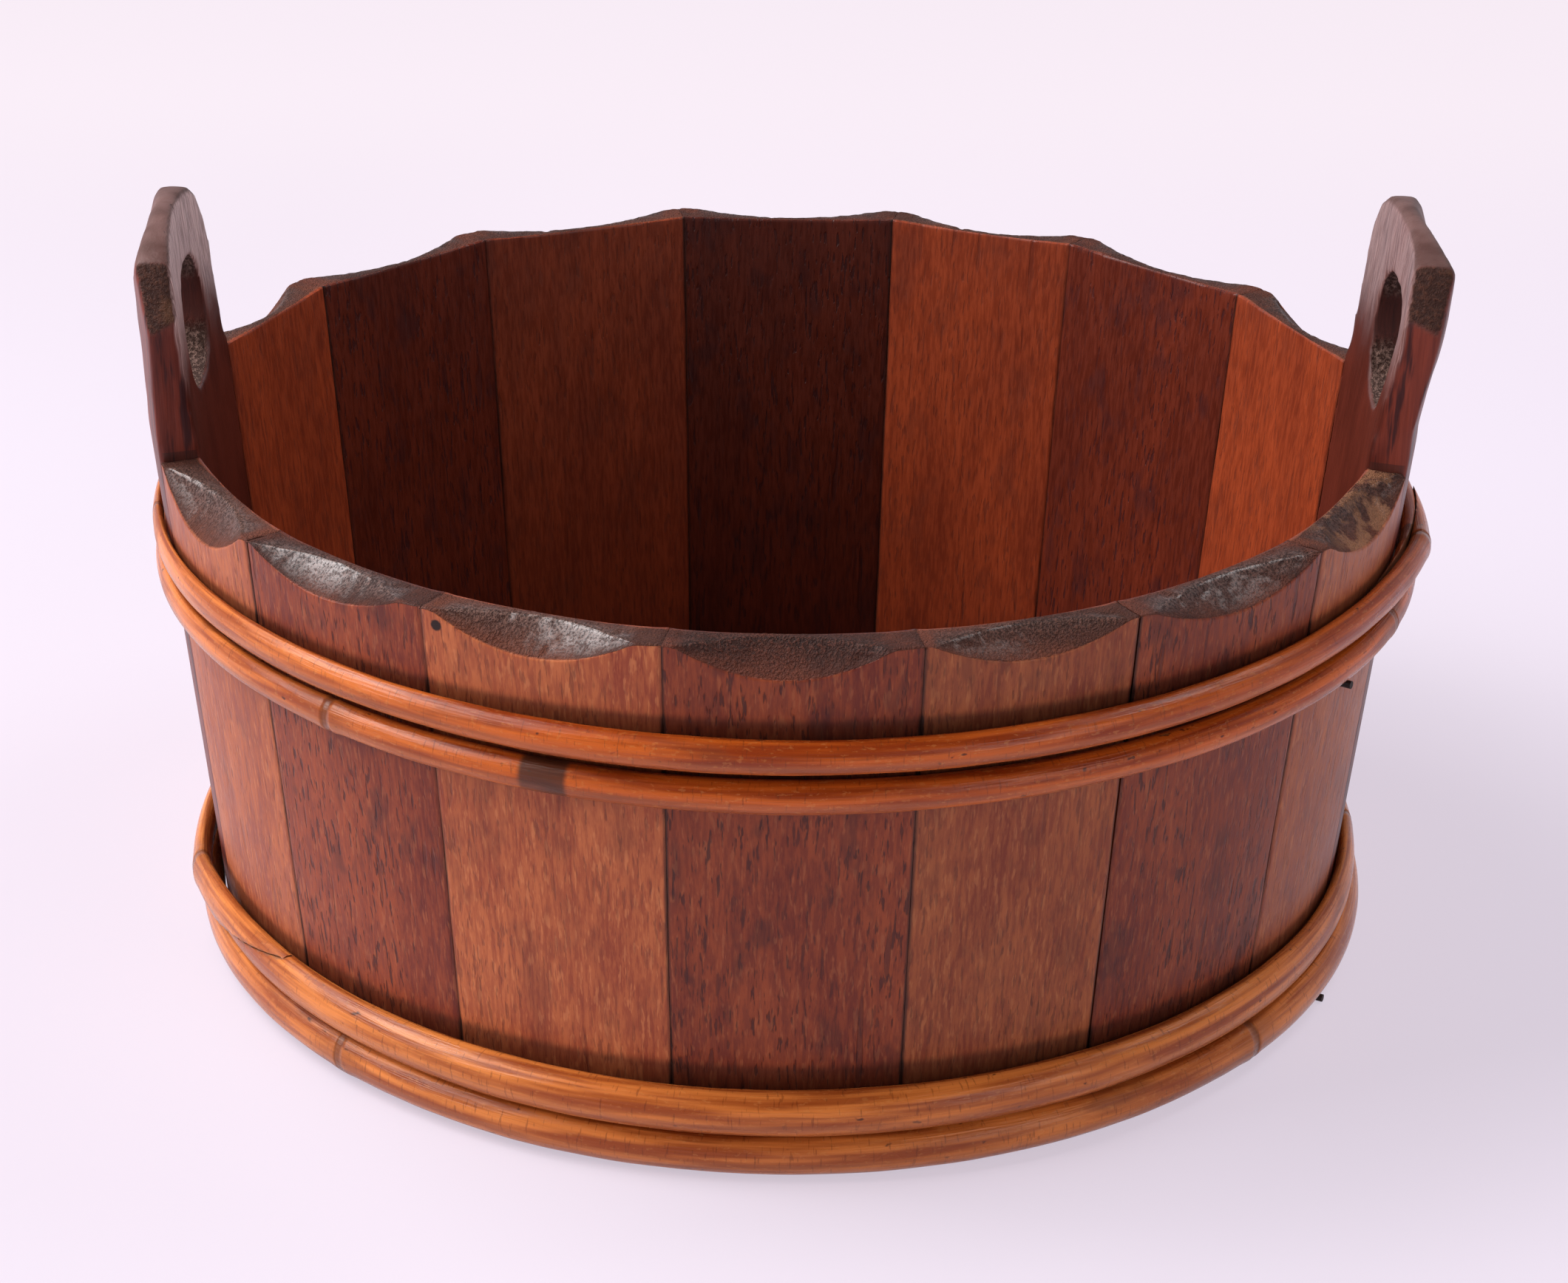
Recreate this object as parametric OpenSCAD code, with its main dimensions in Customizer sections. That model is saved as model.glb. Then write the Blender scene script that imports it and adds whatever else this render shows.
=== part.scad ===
// Coopered wooden tub with two tall ear staves, each pierced by a hand hole.
// Sixteen wedge-edged staves stand on end round a floor let into a groove, with
// bamboo pins hidden in their edges, and four round cane hoops hold them together.
// The origin is the centre of the ring on which the staves stand, with +Z up.
// The ears stand at the two ends of X, and -Y is the front.

/* [Tub] */
// Outer diameter across the stave joints at the mean rim height
rim_d = 400; // [300:1:520]
// Outer diameter at the foot
foot_d = 368.5; // [270:0.5:500]
// Mean height of the rim
body_h = 171.5; // [120:0.5:260]
// Slope of the rim plane, which is higher at the back
rim_tilt = 1.05; // [0:0.05:3]
// Thickness of a stave along its edges
stave_t = 12; // [8:0.5:18]
// Radius of the curve that hollows each inner face, flatter than the tub
hollow_r = 380; // [260:10:900]
// Gap between the edges of neighbouring staves
joint_gap = 0.12; // [0.05:0.01:0.4]

/* [Stave widths] */
// Rim width shares of the back staves, from the right ear to the left one
back_widths = [78, 83, 74, 83, 83, 81, 69]; // [50:1:110] each
// Rim width shares of the front staves, from the left ear to the right one
front_widths = [70, 71, 71, 71, 64, 74, 70]; // [50:1:110] each
// Rim width share of the right ear stave
ear_right_width = 104; // [80:1:130]
// Rim width share of the left ear stave
ear_left_width = 111; // [80:1:130]

/* [Scooped rim] */
// Radial width of the scoop worked in the outer corner of each stave top
scoop_w = 11; // [6:0.5:12]
// Heights of the hand-cut scoops down the outer faces of the front staves, at mid stave
front_drops = [11.5, 6.4, 8, 8.5, 6.8, 7.2, 8.6]; // [4:0.1:14] each
// Heights of the scoops of the back staves
back_drops = [8.1, 6.9, 7.8, 8.4, 7.1, 7.6, 8.9]; // [4:0.1:14] each
// Part of the width of a stave that its scoop takes up
scoop_span = 0.88; // [0.7:0.01:0.98]
// Dip of each stave top between its joints
rim_dip = 1.1; // [0.4:0.1:3]

/* [Ears] */
// Height of the crest of the right ear above the foot of the staves
ear_right_h = 237; // [210:0.5:330]
// Height of the crest of the left ear above the foot of the staves
ear_left_h = 233.5; // [210:0.5:330]
// Radius of the arched crest of an ear
crest_r = 160; // [120:1:300]
// Width of the steep facet at the front shoulder of an ear
front_facet_w = 10; // [6:0.5:20]
// Height of the steep facet at the front shoulder of an ear
front_facet_h = 15; // [6:0.5:25]
// Radius that rounds the back shoulder of an ear
back_shoulder_r = 25; // [15:1:40]
// Width planed off the back edge of an ear above the rim
back_trim = 3; // [1:0.5:5]
// Radial width of the scoop in the outer corner of an ear top
ear_scoop_w = 9.5; // [8.5:0.5:12]
// Height of the scoop down the outer face of an ear
ear_scoop_drop = 24; // [10:1:34]
// Part of the width of an ear that its scoop takes up
ear_scoop_span = 0.96; // [0.8:0.01:0.98]
// Width of a hand hole
hole_w = 46; // [40:1:56]
// Height of a hand hole
hole_h = 37; // [24:1:38]
// Depth of the middle of a hand hole below the crest of its ear
hole_depth = 39; // [34:0.5:50]
// How far the right hand hole lies to the front of the middle of its ear
hole_right_shift = 7; // [-8:0.5:8]
// How far the left hand hole lies to the front of the middle of its ear
hole_left_shift = -7; // [-8:0.5:8]

/* [Floor] */
// Height of the underside of the floor above the foot of the staves
floor_rise = 3; // [2:0.5:30]
// Thickness of the floor
floor_t = 9; // [6:0.5:20]
// Thickness of the feathered floor edge that stands in the groove
tongue_t = 4.5; // [3:0.5:12]
// Depth of the groove at the stave joints
groove_depth = 4; // [2:0.5:6]
// Clearance of the floor edge in the groove
floor_clear = 0.2; // [0.1:0.05:0.6]
// Number of boards in the floor
floor_boards = 4; // [2:1:6]

/* [Bamboo pins] */
// Diameter of the pins in the stave edges
pin_d = 4; // [2.5:0.5:5]
// Length of the pins
pin_l = 26; // [14:1:34]
// Height of the lower pin in each joint
pin_low_z = 52; // [40:1:70]
// Height of the upper pin in each joint
pin_high_z = 108; // [80:1:118]
// Radial clearance of a pin in its hole
pin_clear = 0.1; // [0.05:0.01:0.3]

/* [Cane hoops] */
// Diameter of the two lower canes
lower_cane_d = 13.5; // [8:0.1:13.8]
// Diameter of the two upper canes
upper_cane_d = 10; // [6:0.1:11.8]
// Height of the middle of the lowest cane
lower_hoop_z = 9.4; // [9.4:0.1:30]
// Height from the lowest cane to the one above it
lower_hoop_step = 14.1; // [13.9:0.1:30]
// Height of the middle of the lower cane of the upper pair
upper_hoop_z = 127.8; // [90:0.1:140]
// Height from the lower to the upper cane of the upper pair
upper_hoop_step = 12.3; // [12:0.1:20]
// Gap between a cane and the staves that it lies on
seat_gap = 0.25; // [0.1:0.05:0.6]
// Angle over which the ends of a lower cane overlap, one on top of the other
top_lap_turn = 18; // [12:1:22]
// Angle over which the ends of an upper cane overlap, one outside the other
side_lap_turn = 26; // [16:1:34]
// Angle on each side of a lap over which the over end bulges off the staves
bulge_turn = 23; // [18:1:30]
// How far the over end bulges off the staves
lap_bulge = 4.5; // [2:0.5:8]
// Gap between the two tapered faces of a lap
lap_gap = 0.4; // [0.2:0.1:1]
// How much thicker a knot of the cane is than the cane
knot_rise = 0.5; // [0.2:0.1:1.5]
// Diameter of the pegs that keep the hoops from slipping down
peg_d = 2.4; // [1.5:0.1:2.4]
// Length of the pegs
peg_l = 13; // [10:0.5:18]
// Depth of the peg holes in the staves
peg_hole_depth = 5; // [3:0.5:7]

/* [Hidden] */
front_count = len(front_widths);
back_count = len(back_widths);
widths = concat(ear_right_width, back_widths, ear_left_width, front_widths);
stave_count = len(widths);
left_ear = back_count + 1;
function before(i) = i == 0 ? 0 : widths[i - 1] + before(i - 1);
share = 360 / before(stave_count);
// The two ears mirror each other across the YZ plane
half_right = ear_right_width * share / 2;
mid_left = (before(left_ear) + ear_left_width / 2) * share;
first_edge = (180 - half_right - mid_left) / 2;
function edge(i) = first_edge + before(i) * share;
function mid(i) = edge(i) + half(i);
function half(i) = widths[i] * share / 2;

taper = (rim_d - foot_d) / 2 / body_h;
lean = atan(taper);
function r_out(z) = foot_d / 2 + taper * z;
function r_edge(z) = r_out(z) - stave_t;
function rise_of_arc(r, half_chord) = r - sqrt(r * r - half_chord * half_chord);
function r_face(i, z) =
    r_edge(z) * cos(half(i)) + rise_of_arc(hollow_r, r_edge(z) * sin(half(i)));

groove_r = r_edge(floor_rise) + groove_depth;
floor_top = floor_rise + floor_t;
floor_r = min(r_face(0, floor_rise), r_face(left_ear, floor_rise)) - floor_clear;
lower_top_z = lower_hoop_z + lower_hoop_step;
upper_top_z = upper_hoop_z + upper_hoop_step;
// How far a cut runs past what it cuts
spare = 40;
core_r = floor_r - spare / 2;
drops = concat(0, back_drops, 0, front_drops);
$fn = 96;

// Names follow the order of the staves, right to left at the back and left to right in front
BACK = [for (i = [1 : back_count]) str("stave_back_", i)];
FRONT = [for (i = [1 : front_count]) str("stave_front_", i)];
FLOOR = [for (i = [1 : floor_boards]) str("floor_board_", i)];

dark_wood = [0.36, 0.15, 0.10];
light_wood = [0.62, 0.30, 0.14];
floor_wood = [0.45, 0.24, 0.14];
cane = [0.85, 0.52, 0.20];
bamboo = [0.80, 0.66, 0.42];
peg_wood = [0.20, 0.10, 0.07];

// Where each hoop has its lap, and where the pegs stand, as angles round the tub
lower_bottom_lap = 75;
lower_top_lap = 196;
upper_bottom_lap = 105;
upper_top_lap = -14;
UPPER_PEG_ANGLES = [-34, 66, 158];
LOWER_PEG_ANGLES = [-27, 71, 163];
// The angle of each peg, and the height of the underside of the cane above it
PEGS = concat([for (a = UPPER_PEG_ANGLES) [a, upper_hoop_z - upper_cane_d / 2]],
    [for (a = LOWER_PEG_ANGLES) [a, lower_hoop_z - lower_cane_d / 2]]);

// A wedge of the tub wall between two joint planes, from the foot to height h
module wall_wedge(i, h) {
    gap_turn = joint_gap / rim_d * 360 / PI;
    rotate([0, 0, edge(i) + gap_turn / 2])
        rotate_extrude(angle = 2 * half(i) - gap_turn)
            polygon([[core_r, 0], [r_out(0), 0], [r_out(h), h], [core_r, h]]);
}

// The round cut that hollows the inner face of stave i
module inner_hollow(i, h) {
    rotate([0, 0, mid(i)]) translate([r_face(i, 0), 0, 0])
        rotate([0, atan(taper * cos(half(i))), 0])
            translate([-hollow_r, 0, -spare]) rotate([0, 0, 180])
                cylinder(r = hollow_r, h = h + 2 * spare, $fn = 180);
}

// The groove that holds the floor
module floor_groove() {
    translate([0, 0, floor_rise]) cylinder(r = groove_r, h = tongue_t + floor_clear, $fn = 180);
}

// One pin across joint i at height z, made larger all round by clear
module pin(i, z, clear = 0) {
    rotate([0, 0, edge(i)]) translate([r_out(z) - stave_t / 2, 0, z]) rotate([90, 0, 0])
        cylinder(d = pin_d + 2 * clear, h = pin_l + 2 * clear, center = true, $fn = 24);
}

module pin_holes(i) {
    for (j = [i, (i + 1) % stave_count], z = [pin_low_z, pin_high_z]) pin(j, z, pin_clear);
}

// A frame whose ground plane is the sloping plane of the rim
module at_rim() {
    translate([0, 0, body_h]) rotate([rim_tilt, 0, 0]) children();
}

// The least that a scoop is sunk into its corner
least_sink = 0.4;
// Rise of the sloping foot of a planed edge for each millimetre of its width
trim_slope = 1.5;

// A drum lowered on to an outer corner: it takes w off the top and drop off the outer face,
// and its radius makes the cut run out before the two joints, where span ends
module scoop(i, r, w, drop, span) {
    half_chord = span * r * sin(half(i));
    slope = atan(drop / w);
    sink = max(least_sink, w - rise_of_arc(r, half_chord)) * sin(slope);
    drum_r = half_chord * half_chord / (2 * sink);
    rotate([0, 0, mid(i)]) translate([r - w, 0, 0]) rotate([0, 90 + slope, 0])
        translate([-drum_r, 0, -spare]) rotate([0, 0, 180])
            cylinder(r = drum_r, h = 3 * spare, $fn = 120);
}

// All above the top of a stave, which dips between its joints and ends just under the rim plane
module top_dip(i) {
    half_chord = (r_out(body_h) + spare / 8) * sin(half(i));
    dip_r = half_chord * half_chord / (2 * rim_dip);
    rotate([0, 0, mid(i)]) translate([core_r - 1, 0, 0]) rotate([90, 0, 90])
        linear_extrude(height = 2 * spare) intersection() {
            translate([0, dip_r - rim_dip]) rotate(90) circle(r = dip_r, $fn = 360);
            translate([-1.2 * half_chord, -spare]) square([2.4 * half_chord, 2 * spare]);
        }
}

// A plain stave, cut off along the rim plane, dipped and scooped. Light and dark ones alternate.
module plain_stave(i) {
    tall = body_h + spare / 2;
    color(i % 2 == 1 ? light_wood : dark_wood) difference() {
        wall_wedge(i, tall);
        inner_hollow(i, tall);
        floor_groove();
        pin_holes(i);
        peg_holes(i);
        at_rim() {
            top_dip(i);
            scoop(i, r_out(body_h), scoop_w, drops[i], scoop_span);
        }
    }
}

// What is cut from the top of an ear, seen square on with the front to the right:
// all above its arched crest, the steep front facet and the round of the back shoulder
module crest_cut(half_w, h) {
    wide = half_w + spare;
    difference() {
        translate([-wide, h - crest_r / 3]) square([2 * wide, crest_r]);
        translate([0, h - crest_r]) circle(r = crest_r, $fn = 180);
    }
}

module front_facet_cut(half_w, h) {
    x = half_w - front_facet_w;
    y = h - rise_of_arc(crest_r, x);
    polygon([[x - front_facet_w / 2, y + front_facet_h / 2],
             [x + 3 * front_facet_w, y - 3 * front_facet_h],
             [x + 3 * front_facet_w, h + spare], [x - front_facet_w / 2, h + spare]]);
}

module back_shoulder_cut(half_w, h) {
    x = back_shoulder_r + back_trim - half_w;
    y = h - rise_of_arc(crest_r, abs(x)) - back_shoulder_r;
    start = back_shoulder_r / 15;
    difference() {
        translate([x - 3 * back_shoulder_r - start, y])
            square([3 * back_shoulder_r, 3 * back_shoulder_r]);
        translate([x, y]) circle(r = back_shoulder_r, $fn = 120);
    }
}

// What is planed off the back edge above the rim, where the ear is 2 * rim_half_w wide
module back_edge_cut(half_w, h, rim_half_w) {
    x = back_trim - half_w;
    polygon([[x, h + spare], [-half_w - spare, h + spare],
             [-half_w - spare, body_h + least_sink - trim_slope * (half_w + spare - rim_half_w)],
             [x, body_h + least_sink + trim_slope * (x + rim_half_w)]]);
}

// The hand hole, with round ends
module hole_outline(h, shift) {
    end_x = (hole_w - hole_h) / 2;
    translate([shift, h - hole_depth]) {
        for (x = [-end_x, end_x]) translate([x, 0]) circle(d = hole_h, $fn = 60);
        translate([-end_x, -hole_h / 2]) square([2 * end_x, hole_h]);
    }
}

// Sets an outline upright and drives it through the wall at the middle of stave i. Its right
// side faces on round the tub when way is 1, and back when it is -1: towards the front of the
// tub on the left ear and on the right one.
module through_wall(i, way) {
    depth = 4 * spare;
    rotate([0, 0, mid(i)]) translate([core_r - spare + (way > 0 ? 0 : depth), 0, 0])
        rotate([90, 0, 90 * way]) linear_extrude(height = depth) children();
}

// An ear stave of height h, with its steep facet on the front shoulder
module ear_stave(i, way, h, hole_shift) {
    tall = h + spare / 8;
    half_w = r_edge(h) * sin(half(i));
    color(dark_wood) difference() {
        wall_wedge(i, tall);
        inner_hollow(i, tall);
        floor_groove();
        pin_holes(i);
        peg_holes(i);
        through_wall(i, way) hole_outline(h, hole_shift);
        through_wall(i, way) crest_cut(half_w, h);
        through_wall(i, way) front_facet_cut(half_w, h);
        through_wall(i, way) back_shoulder_cut(half_w, h);
        through_wall(i, way) back_edge_cut(half_w, h, r_out(body_h) * sin(half(i)));
        translate([0, 0, h]) scoop(i, r_out(h), ear_scoop_w, ear_scoop_drop, ear_scoop_span);
    }
}

// The whole floor, with its upper edge feathered to the tongue
module floor_disc() {
    tongue_r = groove_r - floor_clear;
    low_z = floor_rise + floor_clear / 2;
    rotate_extrude($fn = 180)
        polygon([[0, low_z], [tongue_r, low_z], [tongue_r, low_z + tongue_t],
                 [floor_r, low_z + tongue_t + (tongue_r - floor_r) / 2],
                 [floor_r, floor_top], [0, floor_top]]);
}

board_w = 2 * groove_r / floor_boards;
function seam_x(k) = -groove_r + k * board_w;
function floor_pin_y(k) = [-0.55, 0, 0.55] * sqrt(groove_r * groove_r - seam_x(k) * seam_x(k));

// Pins across floor seam k
module seam_pins(k, clear = 0) {
    for (y = floor_pin_y(k)) translate([seam_x(k), y, floor_rise + floor_t / 2])
        rotate([0, 90, 0])
            cylinder(d = pin_d + 2 * clear, h = pin_l + 2 * clear, center = true, $fn = 24);
}

module floor_board(k) {
    color(floor_wood) difference() {
        intersection() {
            floor_disc();
            translate([seam_x(k) + joint_gap / 2, -rim_d, 0])
                cube([board_w - joint_gap, 2 * rim_d, body_h]);
        }
        if (k > 0) seam_pins(k, pin_clear);
        if (k < floor_boards - 1) seam_pins(k + 1, pin_clear);
    }
}

module stave_pins() {
    color(bamboo) for (i = [0 : stave_count - 1], z = [pin_low_z, pin_high_z]) pin(i, z);
}

module floor_pins() {
    color(bamboo) for (k = [1 : floor_boards - 1]) seam_pins(k);
}

// A bent cane: part of a ring of radius r from angle a0 to angle a1
module cane_arc(d, z, r, a0, a1) {
    rotate([0, 0, a0]) rotate_extrude(angle = a1 - a0, $fn = 120)
        translate([r, z]) circle(d = d, $fn = 24);
}

// A knot of the cane, slightly thicker than it, at distance r from the centre
module cane_knot(d, z, r, a) {
    rotate([0, 0, a]) translate([r, 0, z]) sphere(d = d + knot_rise, $fn = 32);
}

function ring_r(d, z) = r_out(z) + (d / 2 + seat_gap) / cos(lean);

// How far off the middle of the cane the slanting face of a lap is at its ends, as a part of
// its diameter: a thin blunt tip is left
tip_bite = 0.45;

// One side of the slanting face of a lap, a block that reaches just past the lap. The face
// slants across the cane from its inside out where outside is true, and else from its
// underside up. side is 1 for the side of the over end and -1 for the under end's.
module lap_block(d, z, lap_mid, lap_turn, outside, side) {
    r = ring_r(d, z);
    bite = tip_bite * d;
    half_run = r * sin(lap_turn / 2);
    rotate([0, 0, lap_mid]) translate([r, 0, z])
        if (outside) {
            off_centre = bite / sin(lap_turn / 2);
            drum_r = sqrt(r * r + off_centre * off_centre) - side * lap_gap / 2;
            if (side > 0) difference() {
                translate([-d, -1.3 * half_run, -d]) cube([3 * d, 2.6 * half_run, 2 * d]);
                translate([-r, off_centre, -2 * d]) cylinder(r = drum_r, h = 4 * d, $fn = 360);
            } else translate([-r, off_centre, -2 * d]) cylinder(r = drum_r, h = 4 * d, $fn = 360);
        } else rotate([atan(bite / half_run), 0, 0])
            translate([-d, -1.5 * half_run, side > 0 ? -lap_gap / 2 : lap_gap / 2 - 2 * d])
                cube([3 * d, 2.8 * half_run, 2 * d]);
}

// The over end: two arcs that swing off the staves and back, with a knot of the cane between
module over_end(d, z, tip) {
    r = ring_r(d, z);
    shift = lap_bulge / (1 - cos(bulge_turn));
    arc_r = r + shift;
    aside = shift * sin(bulge_turn);
    crown = asin(aside / arc_r);
    tip_turn = bulge_turn - asin(shift * sin(bulge_turn - tip) / arc_r);
    translate([-shift * cos(bulge_turn), -aside, 0]) {
        cane_arc(d, z, arc_r, crown, 2 * tip_turn - tip);
        cane_knot(d, z, arc_r, crown);
    }
    translate([-shift * cos(bulge_turn), aside, 0]) cane_arc(d, z, arc_r, -bulge_turn, -crown);
}

// A cane hoop, d thick at height z, in one length. Its ends are cut to long tapers that lap
// lead degrees past the angle bulge_at: the under end lies on the staves, and the over end
// bulges off them and tapers out on top of the other or outside it.
module cane_hoop(d, z, bulge_at, lead, lap_turn, outside) {
    r = ring_r(d, z);
    color(cane) rotate([0, 0, bulge_at]) union() {
        difference() {
            cane_arc(d, z, r, lead - lap_turn / 2, 360 - bulge_turn);
            lap_block(d, z, lead, lap_turn, outside, 1);
        }
        difference() {
            over_end(d, z, lead + lap_turn / 2);
            lap_block(d, z, lead, lap_turn, outside, -1);
        }
        cane_knot(d, z, r, -bulge_turn);
    }
}

top_lap_lead = bulge_turn - top_lap_turn / 2;

module hoop_lower_bottom() {
    cane_hoop(lower_cane_d, lower_hoop_z, lower_bottom_lap, top_lap_lead, top_lap_turn, false);
}

module hoop_lower_top() {
    cane_hoop(lower_cane_d, lower_top_z, lower_top_lap, top_lap_lead, top_lap_turn, false);
}

module hoop_upper_bottom() {
    cane_hoop(upper_cane_d, upper_hoop_z, upper_bottom_lap, 0, side_lap_turn, true);
}

module hoop_upper_top() {
    cane_hoop(upper_cane_d, upper_top_z, upper_top_lap, 0, side_lap_turn, true);
}

// Peg p, just under its cane
module peg(p, clear = 0) {
    peg_z = p[1] - peg_d / 2 - seat_gap / 2;
    rotate([0, 0, p[0]]) translate([r_out(peg_z) - peg_hole_depth - clear, 0, peg_z])
        rotate([0, 90, 0]) cylinder(d = peg_d + 2 * clear, h = peg_l, $fn = 24);
}

// The peg holes of stave i
module peg_holes(i) {
    for (p = PEGS)
        if (abs(((p[0] - mid(i)) % 360 + 540) % 360 - 180) < half(i)) peg(p, pin_clear);
}

module hoop_pegs() {
    color(peg_wood) for (p = PEGS) peg(p);
}

for (i = [1 : back_count])
    plain_stave(i);
for (i = [1 : front_count])
    plain_stave(left_ear + i);
ear_stave(0, -1, ear_right_h, hole_right_shift);  // ear_stave_right
ear_stave(left_ear, 1, ear_left_h, hole_left_shift);  // ear_stave_left
for (i = [1 : floor_boards])
    floor_board(i - 1);
stave_pins();
floor_pins();
hoop_lower_bottom();
hoop_lower_top();
hoop_upper_bottom();
hoop_upper_top();
hoop_pegs();
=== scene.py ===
# %% [markdown]
# # A coopered tub with two ear staves
# Sixteen staves stand on end round a floor, and four cane hoops hold them together. The packed
# model gives every size and place, so the first cell loads it and keeps each part where it lies.
# All lengths here are in metres, in the frame of that model: +Z is up and -Y is the front.

# %% Load the frame
import math
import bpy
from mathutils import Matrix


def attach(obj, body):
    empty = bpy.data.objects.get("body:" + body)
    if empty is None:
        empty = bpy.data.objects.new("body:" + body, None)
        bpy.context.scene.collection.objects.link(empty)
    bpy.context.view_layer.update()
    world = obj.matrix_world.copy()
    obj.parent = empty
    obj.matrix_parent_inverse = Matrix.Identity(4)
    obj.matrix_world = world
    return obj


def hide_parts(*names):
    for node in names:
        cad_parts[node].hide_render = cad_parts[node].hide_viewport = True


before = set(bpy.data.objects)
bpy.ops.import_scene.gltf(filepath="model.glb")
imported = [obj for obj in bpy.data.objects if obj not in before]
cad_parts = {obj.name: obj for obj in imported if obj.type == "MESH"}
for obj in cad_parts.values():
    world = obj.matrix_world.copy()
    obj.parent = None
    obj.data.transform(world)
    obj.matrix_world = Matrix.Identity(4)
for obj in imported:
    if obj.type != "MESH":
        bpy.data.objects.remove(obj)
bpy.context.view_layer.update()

from types import SimpleNamespace

import bmesh
import bpy
from mathutils import Matrix, Vector

# %% [markdown]
# ## Maths on sockets
# Geometry and shader nodes do their sums with Math nodes. Wiring these by hand is slow to read,
# so one small class wraps a socket and turns each operator into its node. `make` adds any other
# node: its settings come first, because some of them change which sockets the node has.


# %% Sockets as values
class Value:
    """A socket of a node tree that can be added, multiplied and compared in plain Python."""

    def __init__(self, tree, socket):
        self.tree, self.socket = tree, socket

    def make(self, kind, inputs=(), out=0, **settings):
        return make(self.tree, kind, inputs, out, **settings)

    def math(self, operation, *others):
        return self.make("ShaderNodeMath", (self, *others), operation=operation)

    def __add__(self, other): return self.math("ADD", other)
    def __radd__(self, other): return self.math("ADD", other)
    def __sub__(self, other): return self.math("SUBTRACT", other)
    def __rsub__(self, other): return (self * -1) + other
    def __mul__(self, other): return self.math("MULTIPLY", other)
    def __rmul__(self, other): return self.math("MULTIPLY", other)
    def __truediv__(self, other): return self.math("DIVIDE", other)
    def __pow__(self, other): return self.math("POWER", other)
    def __gt__(self, other): return self.math("GREATER_THAN", other)
    def __lt__(self, other): return self.math("LESS_THAN", other)
    def __abs__(self): return self.math("ABSOLUTE")
    def least(self, other): return self.math("MINIMUM", other)
    def most(self, other): return self.math("MAXIMUM", other)
    def sin(self): return self.math("SINE")
    def cos(self): return self.math("COSINE")
    def root(self): return self.math("SQRT")
    def clip(self): return self.most(0.0).least(1.0)

    def ease(self, low, high):
        """0 below low, 1 above high and a smooth step between. low may be the larger one."""
        return self.make("ShaderNodeMapRange", {"Value": self, "From Min": low, "From Max": high},
                         interpolation_type="SMOOTHSTEP")


def put(tree, target, value):
    """Links a Value to a socket, or sets the socket to a plain number, colour or vector."""
    if isinstance(value, Value):
        tree.links.new(value.socket, target)
    else:
        target.default_value = value


def make(tree, kind, inputs=(), out=0, **settings):
    """Adds a node with its settings and inputs, and returns one of its outputs."""
    node = tree.nodes.new(kind)
    for name, setting in settings.items():
        setattr(node, name, setting)
    pairs = inputs.items() if isinstance(inputs, dict) else enumerate(inputs)
    for key, value in pairs:
        put(tree, node.inputs[key], value)
    return Value(tree, node.outputs[out])


print("a Value can", [name for name in vars(Value) if not name.startswith("_")])


# %% Vectors
X, Y, Z = 0, 1, 2


def combine(x, y, z):
    tree = next(v.tree for v in (x, y, z) if isinstance(v, Value))
    return make(tree, "ShaderNodeCombineXYZ", [x, y, z])


def part_of(vector, axis):
    return vector.make("ShaderNodeSeparateXYZ", [vector], axis)


def stretch(vector, x, y, z):
    """Multiplies each part of a vector. Below 1 it draws a pattern out along that axis."""
    return vector.make("ShaderNodeVectorMath", [vector, (x, y, z)], operation="MULTIPLY")


def scaled(vector, amount):
    return vector.make("ShaderNodeVectorMath", {0: vector, "Scale": amount}, operation="SCALE")


def facing(vector, direction):
    """How far a vector points in a direction."""
    return direction.make("ShaderNodeVectorMath", [vector, direction], "Value",
                          operation="DOT_PRODUCT")


def noise(vector, scale, detail=2.0, roughness=0.5):
    """A noise texture; its value is 0 to 1 with a mean of a half."""
    inputs = {"Vector": vector, "Scale": scale, "Detail": detail, "Roughness": roughness}
    return vector.make("ShaderNodeTexNoise", inputs, "Fac")


print("axes:", {"X": X, "Y": Y, "Z": Z})

# %% [markdown]
# ## Sizes
# These are the sizes of the packed model. The staves go round anticlockwise from the right ear:
# seven at the back, the left ear, then seven in front. A cooper uses the width that each board
# gives, so each stave takes its own share of the rim.

# %% Sizes of the tub
RIM_R, FOOT_R, BODY_H = 0.200, 0.18425, 0.1715
RIM_TILT = math.radians(1.05)
WALL = 0.012
HOLLOW_R = 0.380
TAPER = (RIM_R - FOOT_R) / BODY_H
JOINT_GAP = 0.00012
RIGHT_EAR_WIDTH, LEFT_EAR_WIDTH = 104, 111
BACK_WIDTHS = [78, 83, 74, 83, 83, 81, 69]
FRONT_WIDTHS = [70, 71, 71, 71, 64, 74, 70]
WIDTHS = [RIGHT_EAR_WIDTH] + BACK_WIDTHS + [LEFT_EAR_WIDTH] + FRONT_WIDTHS
RIGHT_EAR, LEFT_EAR = 0, 1 + len(BACK_WIDTHS)
SHARE = 2 * math.pi / sum(WIDTHS)
MID_LEFT = (sum(WIDTHS[:LEFT_EAR]) + WIDTHS[LEFT_EAR] / 2) * SHARE
FIRST_EDGE = (math.pi - WIDTHS[RIGHT_EAR] * SHARE / 2 - MID_LEFT) / 2
EDGES = [FIRST_EDGE + sum(WIDTHS[:i]) * SHARE for i in range(len(WIDTHS) + 1)]
print("joints at", [round(math.degrees(a), 1) for a in EDGES[:-1]])

# %% [markdown]
# ## Geometry trees
# The staves and the hoops follow rules, so Geometry Nodes make them. Each tree takes named sizes,
# bends a flat grid into the form, keeps a few values of each point for the materials, and ends in
# plain geometry with its material set, which is what an export can read.


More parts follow.
